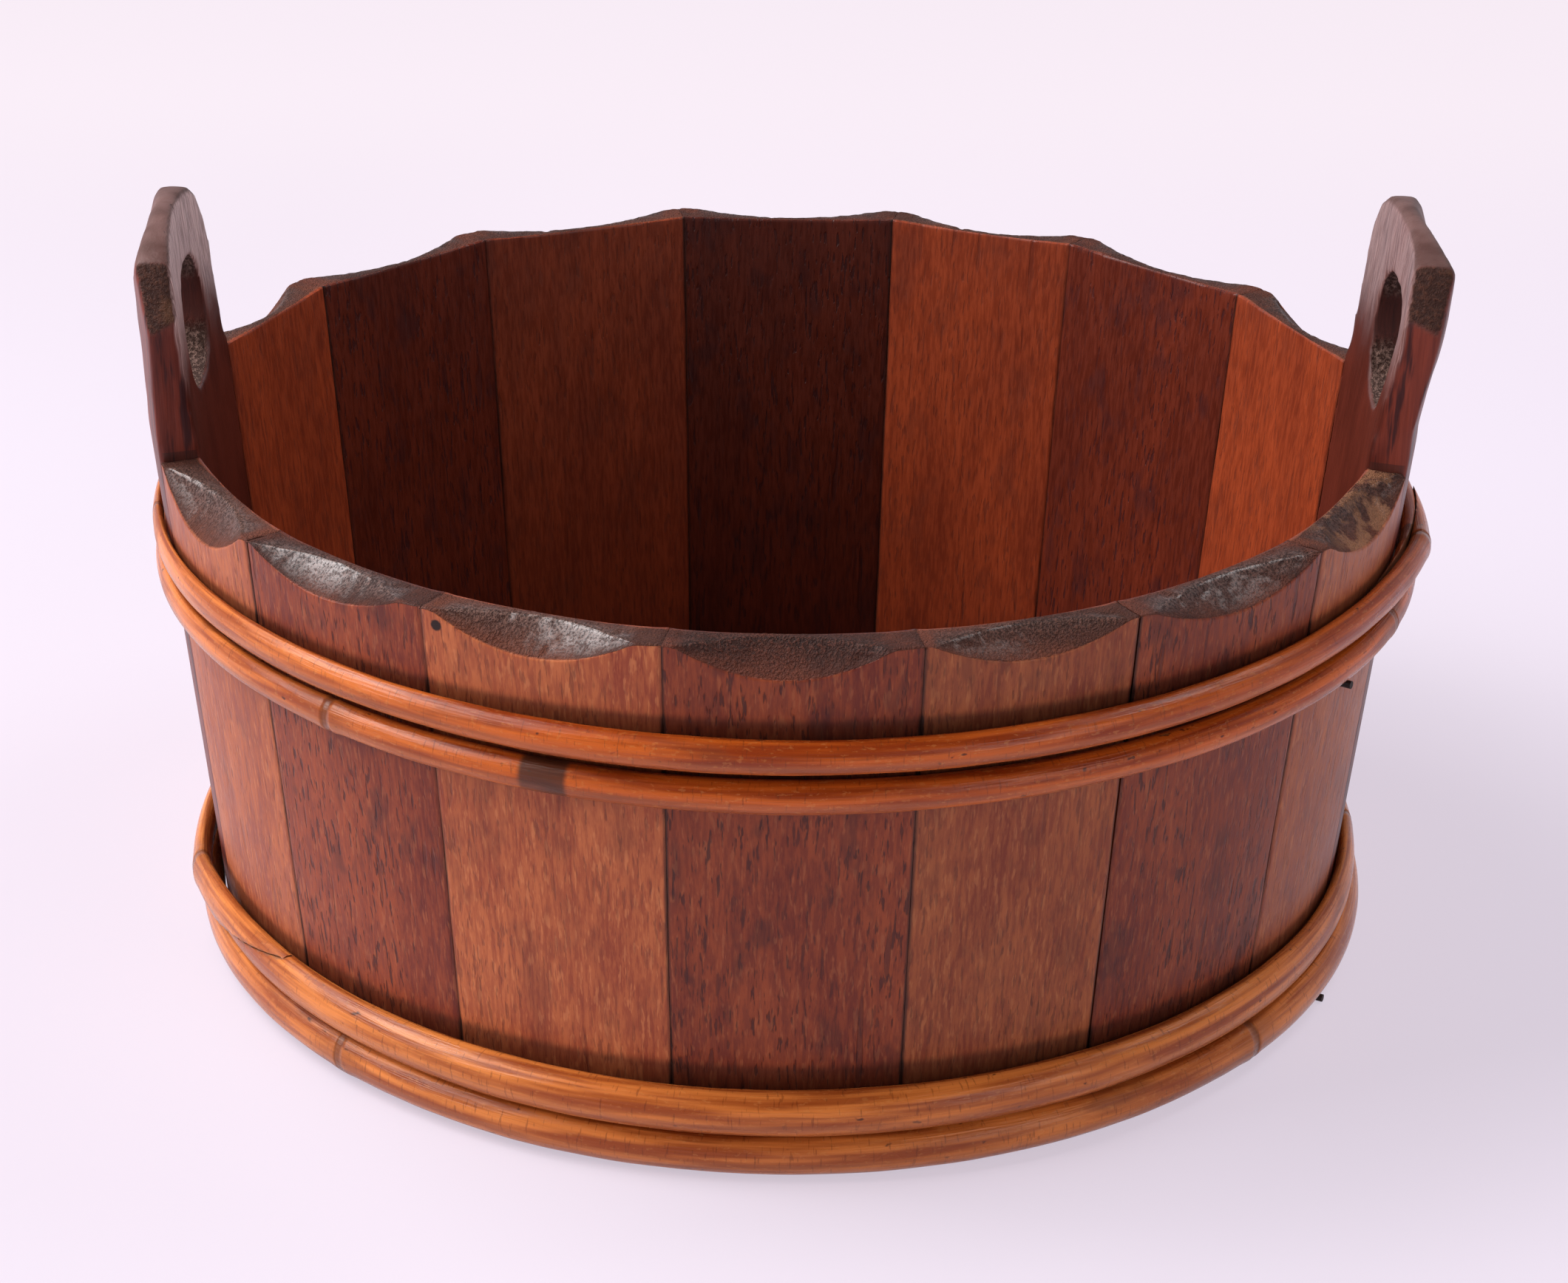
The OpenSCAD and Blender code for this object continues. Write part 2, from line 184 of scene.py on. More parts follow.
# %% Start and end a geometry tree
def geometry_tree(name, inputs, blank=False):
    """A geometry tree and its inputs as Values, from (name, default) pairs. A tree that works on
    a given mesh has that mesh as its first input, Blank."""
    tree = bpy.data.node_groups.new(name, "GeometryNodeTree")
    tree.interface.new_socket("Geometry", in_out="OUTPUT", socket_type="NodeSocketGeometry")
    labels = [label for label, _ in inputs]
    if blank:
        tree.interface.new_socket("Blank", in_out="INPUT", socket_type="NodeSocketGeometry")
        labels.append("Blank")
    for label, default in inputs:
        kind = "NodeSocketMaterial" if default is None else "NodeSocketFloat"
        socket = tree.interface.new_socket(label, in_out="INPUT", socket_type=kind)
        if default is not None:
            socket.default_value = default
    group = tree.nodes.new("NodeGroupInput")
    return tree, {label: Value(tree, group.outputs[label]) for label in labels}


def finish_tree(tree, shape, material):
    """Ends a tree as the export needs it: real geometry with its material set."""
    real = make(tree, "GeometryNodeRealizeInstances", [shape])
    dressed = make(tree, "GeometryNodeSetMaterial", {"Geometry": real, "Material": material})
    end = tree.nodes.new("NodeGroupOutput")
    tree.links.new(dressed.socket, end.inputs[0])
    print("tree", tree.name, "has", len(tree.nodes), "nodes")
    return tree


def keep(shape, kind="FLOAT", **values):
    """Keeps values of each point under their names, for the materials."""
    for name, value in values.items():
        shape = shape.make("GeometryNodeStoreNamedAttribute",
                           {"Geometry": shape, "Name": name, "Value": value},
                           data_type=kind, domain="POINT")
    return shape


def bend_grid(tree, columns, rows):
    """A grid, with the column and the row of each point as numbers from 0."""
    grid = make(tree, "GeometryNodeMeshGrid",
                {"Size X": 1.0, "Size Y": 1.0, "Vertices X": columns, "Vertices Y": rows}, "Mesh")
    index = make(tree, "GeometryNodeInputIndex")
    column = (index / rows).math("FLOOR")
    return grid, column, index - column * rows


# %% Move the points of a shape
SEED_STEP = 0.731
SEED_X, SEED_Y = 1.37, 0.71


def place_at(shape, place):
    return shape.make("GeometryNodeSetPosition", {"Geometry": shape, "Position": place})


def push_by(shape, offset):
    return shape.make("GeometryNodeSetPosition", {"Geometry": shape, "Offset": offset})


def blurred(places, rounds, weight):
    """Places averaged with their neighbours, as much as the weight of each one lets them."""
    return places.make("GeometryNodeBlurAttribute",
                       {"Value": places, "Iterations": rounds, "Weight": weight},
                       data_type="FLOAT_VECTOR")


def own_part(places, seed):
    """Moves the places where noise is read, so that no two pieces are dented alike."""
    return places.make("ShaderNodeVectorMath",
                       [places, combine(seed * SEED_X, seed * SEED_Y, 0.0)], operation="ADD")


print("each piece is cut", SEED_STEP, "m further through the plank")

# %% [markdown]
# ## A tree that makes one stave
# A stave is a wedge of board: wider at the rim, hollowed inside, with a scoop worked in its top.
# A flat grid is bent into it: the columns run across the stave, and the rows run round its
# section, up the outer face, over the scoop and the top, down the hollowed inner face and along
# the foot. Each stretch of rows slides from one corner of the section to the next.

# %% Where each point lies in its stave
STAVE_COLUMNS = 75
ROWS = {"outside": 46, "scoop": 15, "top": 7, "inside": 46, "foot": 5}


def stave_fields(given, column, row):
    """How far each point is round the tub and across its stave, how far its row is through each
    stretch of the section, and which face it is on."""
    start, end = given["Start Angle"], given["End Angle"]
    gap = JOINT_GAP / RIM_R / 2
    turn = (start + gap) + (end - start - 2 * gap) * (column / (STAVE_COLUMNS - 1))
    half = (end - start) / 2
    from_mid = turn - (start + end) / 2
    part, first = {}, 0
    for name, count in ROWS.items():
        part[name] = ((row - first) / count).clip()
        first += count
    return SimpleNamespace(
        turn=turn, half=half, from_mid=from_mid, across=from_mid / half, part=part,
        from_joint=(half - abs(from_mid)) * RIM_R, outside=row < ROWS["outside"] + 0.5,
        inside=row > sum(ROWS.values()) - ROWS["inside"] - ROWS["foot"] - 0.5)


print("points in a stave:", STAVE_COLUMNS * (sum(ROWS.values()) + 1))

# %% The section of a stave
CROWDING = 1.7
LEAST_BITE, LEAST_BAND = 0.05, 0.0022
SCOOP_HOLLOW = 0.0016
ARRIS_REACH, ARRIS_DEPTH = 0.0011, 0.00035


def inner_radius(at, z):
    """The radius of the hollowed inner face at height z, where the section is cut."""
    face = ((FOOT_R - WALL) * at.half.cos()
            + (at.half.sin() * (FOOT_R - WALL)) ** 2 / (2 * HOLLOW_R) + z * at.half.cos() * TAPER)
    side = face * at.from_mid.math("TANGENT")
    return (face - side * side / (2 * HOLLOW_R)) / at.from_mid.cos()


def stave_section(given, at):
    """The radius and the height of each point, the height of the top, and the bite of the scoop:
    1 in its middle and nearly 0 beyond its ends."""
    part, across = at.part, at.across
    rim_z = BODY_H + at.turn.sin() * (RIM_R * math.tan(RIM_TILT))
    top_z = rim_z - given["Rim Dip"] * (1 - across * across)
    top_out = FOOT_R + top_z * TAPER
    top_in = inner_radius(at, top_z)
    along = (across - given["Scoop Shift"]) / given["Scoop Span"]
    bite = (1 - along * along).most(LEAST_BITE)
    low_z = top_z - given["Scoop Drop"] * bite
    low_out = FOOT_R + low_z * TAPER
    band = (top_out - given["Scoop Width"] * bite).most(top_in + LEAST_BAND)
    foot_in = inner_radius(at, 0.0)
    corners = [(FOOT_R, 0.0), (low_out, low_z), (band, top_z), (top_in, top_z), (foot_in, 0.0),
               (FOOT_R, 0.0)]
    # the rows of both faces are closer together near the top, where the worn corners are
    up = 1 - (1 - part["outside"]) ** CROWDING
    down = part["inside"] ** CROWDING
    shares = [up, part["scoop"], part["top"], down, part["foot"]]
    radius, height = FOOT_R, 0.0
    for share, (r0, z0), (r1, z1) in zip(shares, corners, corners[1:]):
        radius = share * (r1 - r0) + radius
        height = share * (z1 - z0) + height

    # the scoop is slightly hollow, and the joint arrises are rounded off
    hollow = part["scoop"] * (1 - part["scoop"]) * bite * -SCOOP_HOLLOW
    arris = at.from_joint.ease(ARRIS_REACH, 0.0) * given["Wear"] * ARRIS_DEPTH
    radius = radius + hollow - arris * at.outside + arris * at.inside
    height = height + hollow - arris * (1 - at.outside) * (1 - at.inside)
    return radius, height, top_z, bite


print("wall at the foot:", WALL, "taper:", round(TAPER, 4))

# %% [markdown]
# The materials need to know where they are. `grain` is the place of a point in the straight
# plank that the stave was cut from, and the other values mark the cut ends, the scoop, the inner
# face, the distance from the joint, and the nail hole that one stave has beside its scoop.

# %% What a stave keeps for its material
NAIL_X, NAIL_Z = -0.0305, 0.1638
SCOOP_EDGE = 0.25


def note_stave(shape, given, at, radius, height, bite):
    offset = given["Seed"] * SEED_STEP
    grain = combine(at.from_mid * RIM_R, radius - RIM_R + offset, height)
    ends = (1 - at.outside) * (1 - at.inside) * (at.part["foot"] < 0.001)
    scooped = at.part["scoop"] * (1 - at.part["top"]) * bite.ease(0.0, SCOOP_EDGE)
    nail_x, nail_z = at.from_mid * RIM_R - NAIL_X, height - NAIL_Z
    nail_gap = (nail_x * nail_x + nail_z * nail_z).root() + (1 - given["Nail Hole"])
    shape = keep(shape, "FLOAT_VECTOR", grain=grain)
    return keep(shape, end_grain=ends, scooped=scooped, inside=at.inside, joint=at.from_joint,
                shade=given["Shade"], rubbed=given["Rubbed"] * at.across.ease(-0.75, -0.2),
                polish=scooped * given["Polish And Sheen"], nail_hole=nail_gap + at.inside)


print("nail hole at", (NAIL_X, NAIL_Z))

# %% Wear and the whole stave tree
BROAD_WAVE, FINE_WAVE, END_WAVE, CHIP_DEPTH = 0.0006, 0.00006, 0.0009, 0.0005


def wear_stave(shape, given, at, height, top_z):
    """Blurs the corners of the top, then makes the faces uneven: end grain is rough, and long
    grain is only gently wavy."""
    here = make(shape.tree, "GeometryNodeInputPosition")
    near_top = (height / top_z).ease(0.93, 0.975) * at.from_joint.ease(0.0, 0.004)
    shape = place_at(shape, blurred(here, 2, near_top * given["Wear"]))
    own = own_part(here, given["Seed"])
    broad = noise(own, 26.0, 2.0) - 0.5
    fine = noise(own, 240.0, 3.0, 0.6) - 0.5
    chips = noise(own, 95.0, 2.0, 0.6).ease(0.60, 0.74)
    ends = make(shape.tree, "GeometryNodeInputNamedAttribute", {"Name": "end_grain"}, "Attribute",
                data_type="FLOAT")
    rough = broad * BROAD_WAVE + fine * (ends * END_WAVE + FINE_WAVE)
    rough = rough - chips * ends * CHIP_DEPTH
    # the first and the last row meet along the foot, so nothing moves there
    rough = rough * given["Wear"] * height.ease(0.0, 0.004)
    normal = make(shape.tree, "GeometryNodeInputNormal")
    return push_by(shape, scaled(normal, rough))


def stave_tree():
    tree, given = geometry_tree("stave", [
        ("Start Angle", 0.0), ("End Angle", 0.4), ("Scoop Width", 0.011),
        ("Scoop Drop", 0.0076), ("Scoop Span", 0.96), ("Scoop Shift", 0.0),
        ("Rim Dip", 0.0011), ("Wear", 1.0), ("Shade", 1.0), ("Rubbed", 0.0),
        ("Nail Hole", 0.0), ("Polish And Sheen", 0.3), ("Seed", 0.0), ("Material", None)])
    grid, column, row = bend_grid(tree, STAVE_COLUMNS, sum(ROWS.values()) + 1)
    at = stave_fields(given, column, row)
    radius, height, top_z, bite = stave_section(given, at)
    shape = place_at(grid, combine(radius * at.turn.cos(), radius * at.turn.sin(), height))
    shape = note_stave(shape, given, at, radius, height, bite)
    shape = wear_stave(shape, given, at, height, top_z)
    return finish_tree(tree, shape, given["Material"])


STAVE = stave_tree()

# %% [markdown]
# ## From a tree to a plain piece
# A tree runs once for each piece, as a modifier. Its result is then copied into a plain mesh and
# the modifier goes, so nothing live is left on the piece. The open ends of the bent grid are
# closed with one face each.

# %% Grow, close and smooth a piece
WELD = 1e-6


def grow(name, tree, values, material, blank=None, skin=0.0):
    """Runs a tree once with these input values and returns the result as a plain object. It
    starts from nothing, or from a blank mesh whose skin is first rebuilt of small even faces."""
    mesh = blank or bpy.data.meshes.new(name)
    piece = bpy.data.objects.new(name, mesh)
    bpy.context.scene.collection.objects.link(piece)
    if skin:
        remesh = piece.modifiers.new("skin", "REMESH")
        remesh.mode, remesh.voxel_size = "VOXEL", skin
    modifier = piece.modifiers.new("made", "NODES")
    modifier.node_group = tree
    for item in tree.interface.items_tree:
        if item.item_type == "SOCKET" and item.in_out == "INPUT":
            if item.name == "Material":
                modifier[item.identifier] = material
            elif item.name in values:
                modifier[item.identifier] = float(values[item.name])
    depsgraph = bpy.context.evaluated_depsgraph_get()
    made = bpy.data.meshes.new_from_object(piece.evaluated_get(depsgraph),
                                           preserve_all_data_layers=True, depsgraph=depsgraph)
    piece.modifiers.clear()
    piece.data = made
    made.name = name
    return piece


def close_ends(piece):
    """Closes the open ends of a tube with one face each, turns all faces outwards, and returns
    how many edges are still open."""
    form = bmesh.new()
    form.from_mesh(piece.data)
    bmesh.ops.remove_doubles(form, verts=form.verts, dist=WELD)
    bmesh.ops.holes_fill(form, edges=[e for e in form.edges if e.is_boundary], sides=0)
    bmesh.ops.recalc_face_normals(form, faces=form.faces)
    if form.calc_volume(signed=True) < 0:
        bmesh.ops.reverse_faces(form, faces=form.faces)
    open_edges = sum(not e.is_manifold for e in form.edges)
    form.to_mesh(piece.data)
    form.free()
    return open_edges


def smooth(piece, angle=0.7):
    """Shades a piece smooth, with sharp edges kept where faces meet at more than angle."""
    piece.data.shade_smooth()
    piece.data.set_sharp_from_angle(angle=angle)


def merged_copy(node):
    """The mesh of a packed node as a bmesh with its loose triangles merged."""
    form = bmesh.new()
    form.from_mesh(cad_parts[node].data)
    bmesh.ops.remove_doubles(form, verts=form.verts, dist=WELD)
    return form


def to_mesh(form, name):
    mesh = bpy.data.meshes.new(name)
    form.to_mesh(mesh)
    form.free()
    return mesh


print("points closer than", WELD, "m are merged")

# %% [markdown]
# ## Finishes
# The wood is stained and varnished, and worn where hands held it. An image would be simple, but a
# pattern made of nodes fits each plank and never repeats. It is built in `grain`, the straight
# coordinates of the plank: X across, Y through the thickness and Z along the fibres. Noise drawn
# out along Z makes fibres and pores, and on the end of the plank it turns into dots by itself.

# %% Start a material
COLOUR_A, COLOUR_B, COLOUR_OUT = 6, 7, 2


def new_material(name):
    """A material with one Principled shader; returns it, its tree and the shader node."""
    material = bpy.data.materials.new(name)
    material.use_nodes = True
    tree = material.node_tree
    return material, tree, tree.nodes["Principled BSDF"]


def attributes(tree, *names):
    """Values that the geometry tree kept, by name."""
    return [make(tree, "ShaderNodeAttribute", (), "Fac", attribute_name=name) for name in names]


def grain_of(tree):
    return make(tree, "ShaderNodeAttribute", (), "Vector", attribute_name="grain")


def fibres(grain, draw_out, scale, detail, roughness):
    """Noise whose spots are drawn out along the fibres: at 0.1 they are ten times as long."""
    return noise(stretch(grain, 1.0, 1.0, draw_out), scale, detail, roughness)


def mix(share, a, b):
    """Mixes two colours, from a where share is 0 to b where it is 1."""
    node = share.tree.nodes.new("ShaderNodeMix")
    node.data_type = "RGBA"
    put(share.tree, node.inputs["Factor"], share)
    for key, colour in ((COLOUR_A, a), (COLOUR_B, b)):
        put(share.tree, node.inputs[key],
            (*colour, 1.0) if isinstance(colour, tuple) else colour)
    return Value(share.tree, node.outputs[COLOUR_OUT])


def bump(height, depth, normal=None):
    """Turns a height from 0 to 1 into a surface relief of that many metres."""
    inputs = {"Height": height, "Distance": depth, "Strength": 1.0}
    if normal is not None:
        inputs["Normal"] = normal
    return height.make("ShaderNodeBump", inputs)


def finish(shader, **sockets):
    """Sets sockets of a shader. A number is set on the socket, and a Value is linked to it."""
    for name, value in sockets.items():
        put(shader.id_data, shader.inputs[name.replace("_", " ")], value)


print("a colour mix has its sockets at", (COLOUR_A, COLOUR_B, COLOUR_OUT))

# %% Dirt and painted shade along the hoops
# the heights where each band starts, where it is full from and to, and where it ends
DIRT_AND_SHADE_BANDS = [(0.1380, 0.1400, 0.1448, 0.1476), (0.1165, 0.1205, 0.1280, 0.1300),
              (0.0220, 0.0240, 0.0310, 0.0345)]


def hoop_dirt_and_shade(height):
    """1 in narrow bands of the wall, above and below the upper hoops and above the lower ones:
    dirt, and painted shade where the wall meets the hoops.
    """
    return sum(height.ease(end, full_to) * height.ease(start, full_from)
               for start, full_from, full_to, end in DIRT_AND_SHADE_BANDS).clip()


print("bands of dirt:", len(DIRT_AND_SHADE_BANDS))

# %% [markdown]
# A stave shows two sorts of surface. Its faces are long grain: fibres, dark pores and paler flecks,
# with dirt along the joints. Its top is end grain, which soaks up the dark and shows the pores as
# dots, and the scoops in front are polished by hands until they catch the light. Their pale specks
# are partly polished wood and partly painted sheen, most on the boards where the lamps reflect.

# %% Varnished staves
DIRT_AND_SHADE = (0.020, 0.007, 0.005)
END_DEEP, END_PALE = (0.012, 0.0035, 0.002), (0.066, 0.016, 0.008)
BAND_DEEP, BAND_PALE = (0.036, 0.0075, 0.003), (0.096, 0.022, 0.010)
# the pale colour of the polished scoops is partly polished wood and partly painted sheen
POLISHED_AND_SHEEN, RUBBED_THROUGH = (0.225, 0.135, 0.108), (0.27, 0.120, 0.058)


def end_colour(grain, blotch, dots, scooped, polish, rubbed):
    """The colour of the cut ends; the band between the scoop and the inner face is the darkest."""
    ends = mix(dots.ease(0.42, 0.62), END_DEEP, END_PALE)
    # pale specks in the polished scoops: polished wood and painted sheen of the lamps
    ends = mix(polish * dots.ease(0.36, 0.56) * 0.55, ends, POLISHED_AND_SHEEN)
    ends = mix(scooped, mix(blotch.ease(0.4, 0.6), BAND_DEEP, BAND_PALE), ends)
    golden = noise(grain, 120.0, 3.0, 0.6).ease(0.44, 0.56)
    return mix(rubbed * golden * 0.8, ends, RUBBED_THROUGH)


def stave_wood(name, pale, deep, fleck, pore, pore_share, inner_pale, inner_deep):
    material, tree, shader = new_material(name)
    grain = grain_of(tree)
    end_grain, scooped, inside, joint = attributes(
        tree, "end_grain", "scooped", "inside", "joint")
    shade, rubbed, polish, nail_hole = attributes(
        tree, "shade", "rubbed", "polish", "nail_hole")
    blotch = fibres(grain, 0.35, 42.0, 3.0, 0.6)
    fibre = fibres(grain, 0.10, 900.0, 3.0, 0.65)
    broad = fibres(grain, 0.08, 170.0, 2.0, 0.5)
    flecks = fibres(grain, 0.16, 800.0, 2.0, 0.6).ease(0.56, 0.66)
    dashes = fibres(grain, 0.13, 850.0, 2.0, 0.55)
    pores = dashes.ease(0.57, 0.65) * pore_share * blotch.ease(0.25, 0.6)
    cracks = fibres(grain, 0.05, 260.0, 1.0, 0.4).ease(0.70, 0.74) * pore_share
    stain = fibres(grain, 0.5, 75.0, 3.0, 0.65).ease(0.52, 0.68) * pore_share
    dots = fibres(grain, 0.6, 1300.0, 2.0, 0.6)

    # the faces
    tone = (blotch.ease(0.36, 0.64) * 0.35 + fibre.ease(0.38, 0.62) * 0.45
            + broad.ease(0.35, 0.65) * 0.2)
    colour = mix(inside, mix(tone, deep, pale), mix(tone, inner_deep, inner_pale))
    colour = mix(flecks * (1 - inside) * 0.35, colour, fleck)
    colour = mix(stain * 0.5, colour, pore)
    colour = mix((pores + cracks * 0.6).clip() * 0.8, colour, pore)
    # each board's own shade; on the boards in front at the left it also paints the lamp's light and
    # sheen
    colour = scaled(colour, shade)

    # dirt and varnish gather along the joints and in the nail hole, and along the hoops the wall is
    # darkened by dirt and painted shade
    dirt_and_shade = joint.ease(0.0011, 0.0002) * 0.85 * (0.4 + blotch.ease(0.4, 0.6) * 0.6)
    # dirt and painted shade in the bands where the wall meets the hoops
    dirt_and_shade = dirt_and_shade + hoop_dirt_and_shade(part_of(grain, Z)) * (1 - inside) * 0.6
    dirt_and_shade = dirt_and_shade + nail_hole.ease(0.0021, 0.0014)
    colour = mix(dirt_and_shade.clip(), colour, DIRT_AND_SHADE)
    ends = end_colour(grain, blotch, dots, scooped, polish, rubbed)
    skin = bump(fibre * 0.35 - pores * 0.6 - cracks * 0.8, 0.00028)
    pits = bump(dots.ease(0.3, 0.7) * end_grain * (0.4 + scooped * 0.6), 0.0009, skin)
    finish(shader, Base_Color=mix(end_grain * 0.92, colour, ends),
           Roughness=0.34 + fibre.ease(0.3, 0.7) * 0.14 - inside * 0.04 + end_grain * 0.32,
           Specular_IOR_Level=0.24, Coat_Roughness=0.24,
           Coat_Weight=polish * (0.35 + dots.ease(0.40, 0.52) * 0.65), Normal=pits)
    return material


DARK = stave_wood(
    "dark stave wood", pale=(0.270, 0.055, 0.018), deep=(0.120, 0.0165, 0.0085),
    fleck=(0.36, 0.115, 0.045), pore=(0.026, 0.008, 0.010), pore_share=0.9,
    inner_pale=(0.125, 0.0190, 0.0075), inner_deep=(0.060, 0.0085, 0.0040))
LIGHT = stave_wood(
    "light stave wood", pale=(0.390, 0.110, 0.037), deep=(0.195, 0.034, 0.014),
    fleck=(0.52, 0.190, 0.070), pore=(0.075, 0.018, 0.012), pore_share=0.55,
    inner_pale=(0.290, 0.048, 0.014), inner_deep=(0.140, 0.021, 0.008))
print("finishes:", DARK.name, "and", LIGHT.name)

# %% [markdown]
# ## The plain staves
# The tree runs once for each stave. The pale and the dark wood take turns, and each board has its
# own shade; on the boards in front at the left it is raised, as painted light and sheen of the lamp
# on that side. The scoops in front were measured one by one, because each was cut by hand, and one
# joint in front has opened a little as the wood dried.

# %% Make the staves
# the width, the drop, the span and the shift of each scoop in front
FRONT_SCOOPS = [(0.0100, 0.0115, 0.92, 0.00), (0.0110, 0.0064, 0.88, -0.08),
                (0.0112, 0.0080, 0.85, -0.05), (0.0115, 0.0085, 0.85, -0.07),
                (0.0108, 0.0068, 0.94, -0.01), (0.0112, 0.0072, 0.94, 0.05),
                (0.0135, 0.0090, 0.98, 0.08)]
BACK_DROPS = [0.0081, 0.0069, 0.0078, 0.0084, 0.0071, 0.0076, 0.0089]
BACK_SCOOPS = [(0.011, drop, 0.88, 0.0) for drop in BACK_DROPS]
SCOOPS = {"front": FRONT_SCOOPS, "back": BACK_SCOOPS}
# the shade of each board; in front, the boards at the left are raised as painted light and sheen of
# the lamp on that side
SHADES_AND_PAINTED_LIGHT = {"front": [1.16, 1.12, 1.25, 1.02, 0.86, 0.96, 0.98],
          "back": [1.15, 1.30, 1.10, 0.70, 0.75, 1.00, 1.20]}
# how polished each scoop is; it also sets the painted sheen in its pale colour, most where the
# lamps reflect
POLISH_AND_SHEEN = {"front": [0.9, 1.0, 1.0, 0.12, 0.45, 0.8, 0.4], "back": [0.3] * len(BACK_WIDTHS)}
FIRST_PLACE = {"front": LEFT_EAR, "back": RIGHT_EAR}
# the turn by which a stave has shrunk: half a millimetre at the rim
SHRUNK = {"stave_front_5": 0.0022}


def make_stave(side, number):
    name = f"stave_{side}_{number}"
    place = FIRST_PLACE[side] + number
    width, drop, span, shift = SCOOPS[side][number - 1]
    wood, slot = (LIGHT, "light_wood") if number % 2 else (DARK, "dark_wood")
    stave = grow(name + "_worn", STAVE, {
        "Start Angle": EDGES[place], "End Angle": EDGES[place + 1] - SHRUNK.get(name, 0.0),
        "Scoop Width": width, "Scoop Drop": drop, "Scoop Span": span, "Scoop Shift": shift,
        "Shade": SHADES_AND_PAINTED_LIGHT[side][number - 1], "Polish And Sheen": POLISH_AND_SHEEN[side][number - 1],
        "Rubbed": name == "stave_front_7", "Nail Hole": name == "stave_front_3",
        "Seed": place}, wood)
    left_open = close_ends(stave)
    smooth(stave)
    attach(stave, "root")
    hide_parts(name)
    print(name, "faces", len(stave.data.polygons), "open edges", left_open)


for side in ("back", "front"):
    for number in range(1, 8):
        make_stave(side, number)

# %% [markdown]
# ## The ears
# An ear is one thick stave that stands high above the rim, with an arched crest, a steep facet
# in front, a scooped outer corner and a hand hole. Its packed shape is right but has knife-sharp
# edges. So a copy gets an even skin of small faces, and a tree wears that skin: it blurs the
# places of the points where hands rubbed, leans the warped corner, and roughens the cut ends.

# %% Where each point lies in its ear
EAR_SKIN = 0.001
HOLE_DEPTH, HOLE_REACH = 0.039, 0.027
LEAST_BLUR = 0.12


def ear_fields(given, here):
    """Two directions of the ear, out of the tub and on towards its front edge, and how far each
    point lies along them, from the joint, from the middle of the hole and above the rim."""
    middle, front = given["Middle"], given["Front"]
    outward = combine(middle.cos(), middle.sin(), 0.0)
    onward = combine(middle.sin() * front * -1, middle.cos() * front, 0.0)
    depth, ahead = facing(here, outward), facing(here, onward)
    height = part_of(here, Z)
    from_mid = ahead.math("ARCTAN2", depth)
    aside = ahead - given["Hole Shift"]
    down = height - given["Crest"] + HOLE_DEPTH
    return SimpleNamespace(
        outward=outward, onward=onward, ahead=ahead, height=height,
        radius=(depth * depth + ahead * ahead).root(),
        from_joint=(given["Half Turn"] - abs(from_mid)) * RIM_R,
        from_hole=(aside * aside + down * down).root(),
        above_rim=height.ease(BODY_H + 0.001, BODY_H + 0.012))


def shape_ear(shape, given, at, here):
    """Hands wore the top round, but the hand hole and the joints stayed sharper. One ear leans
    out at its front corner, and the other is thinner there."""
    rubbed = at.above_rim * (0.25 + at.from_hole.ease(HOLE_REACH, HOLE_REACH + 0.006) * 0.75)
    shape = place_at(shape, blurred(here, 12, rubbed.most(LEAST_BLUR)))
    corner = at.height.ease(0.176, 0.216) * at.ahead.ease(-0.015, 0.042)
    outer_share = ((at.radius - (FOOT_R - WALL) - at.height * TAPER) / WALL).clip()
    lean = corner * (given["Lean"] - given["Thinned"] * outer_share)
    # the blur has lowered the crest, so it rises again
    rise = at.height.ease(0.214, 0.231) * given["Rise"]
    middle = given["Middle"]
    return push_by(shape, combine(middle.cos() * lean, middle.sin() * lean, rise))


print("an ear gets faces of", EAR_SKIN, "m")


# %% The tree that wears an ear
def note_ear(shape, given, at, normal):
    """Keeps what the material asks for, and returns the cut ends and the hand hole as well."""
    upwards = part_of(normal, Z)
    inward = facing(normal, at.outward) * -1
    to_front = facing(normal, at.onward)
    offset = given["Seed"] * SEED_STEP
    facet = to_front.ease(0.45, 0.68) * upwards.ease(0.25, 0.42)
    around = at.from_hole.ease(HOLE_REACH, HOLE_REACH - 0.002)
    in_hole = around * (1 - abs(inward).ease(0.4, 0.7))
    crest = upwards.ease(0.2, 0.5) * at.above_rim * (1 - facet) * (1 - in_hole)
    end_grain = abs(upwards).ease(0.3, 0.6)
    shape = keep(shape, "FLOAT_VECTOR",
                 grain=combine(at.ahead, at.radius - RIM_R + offset, at.height))
    shape = keep(shape, inside=inward.ease(0.45, 0.75), joint=at.from_joint + at.above_rim,
                 facet=facet, in_hole=in_hole, crest=crest, end_grain=end_grain,
                 held=at.height.ease(0.186, 0.212) * given["Dry"])
    return shape, end_grain, in_hole


def ear_tree():
    tree, given = geometry_tree("ear", [
        ("Middle", 0.0), ("Half Turn", 0.26), ("Crest", 0.235), ("Front", 1.0),
        ("Hole Shift", 0.0), ("Lean", 0.0), ("Thinned", 0.0), ("Rise", 0.0), ("Dry", 1.0),
        ("Seed", 0.0), ("Material", None)], blank=True)
    here = make(tree, "GeometryNodeInputPosition")
    normal = make(tree, "GeometryNodeInputNormal")
    at = ear_fields(given, here)
    shape = shape_ear(given["Blank"], given, at, here)
    shape, end_grain, in_hole = note_ear(shape, given, at, normal)

    # uneven faces: broad waves everywhere above the rim, and roughness on the cut ends
    own = own_part(here, given["Seed"])
    broad = noise(own, 55.0, 2.0) * at.above_rim * 0.0009
    rough = noise(own, 330.0, 3.0, 0.6) * end_grain * (in_hole * 0.0011 + 0.0003)
    dent = (broad + rough + 0.0001) * -1
    return finish_tree(tree, push_by(shape, scaled(normal, dent)), given["Material"])


EAR = ear_tree()

# %% [markdown]
# The wood of the ears is the dark one, but their tops have been held for years. The crest is
# smooth and grey, the upper inner face is dry, with pale fibres and dark cracks, and the facet
# and the inside of the hand hole show speckled end grain.

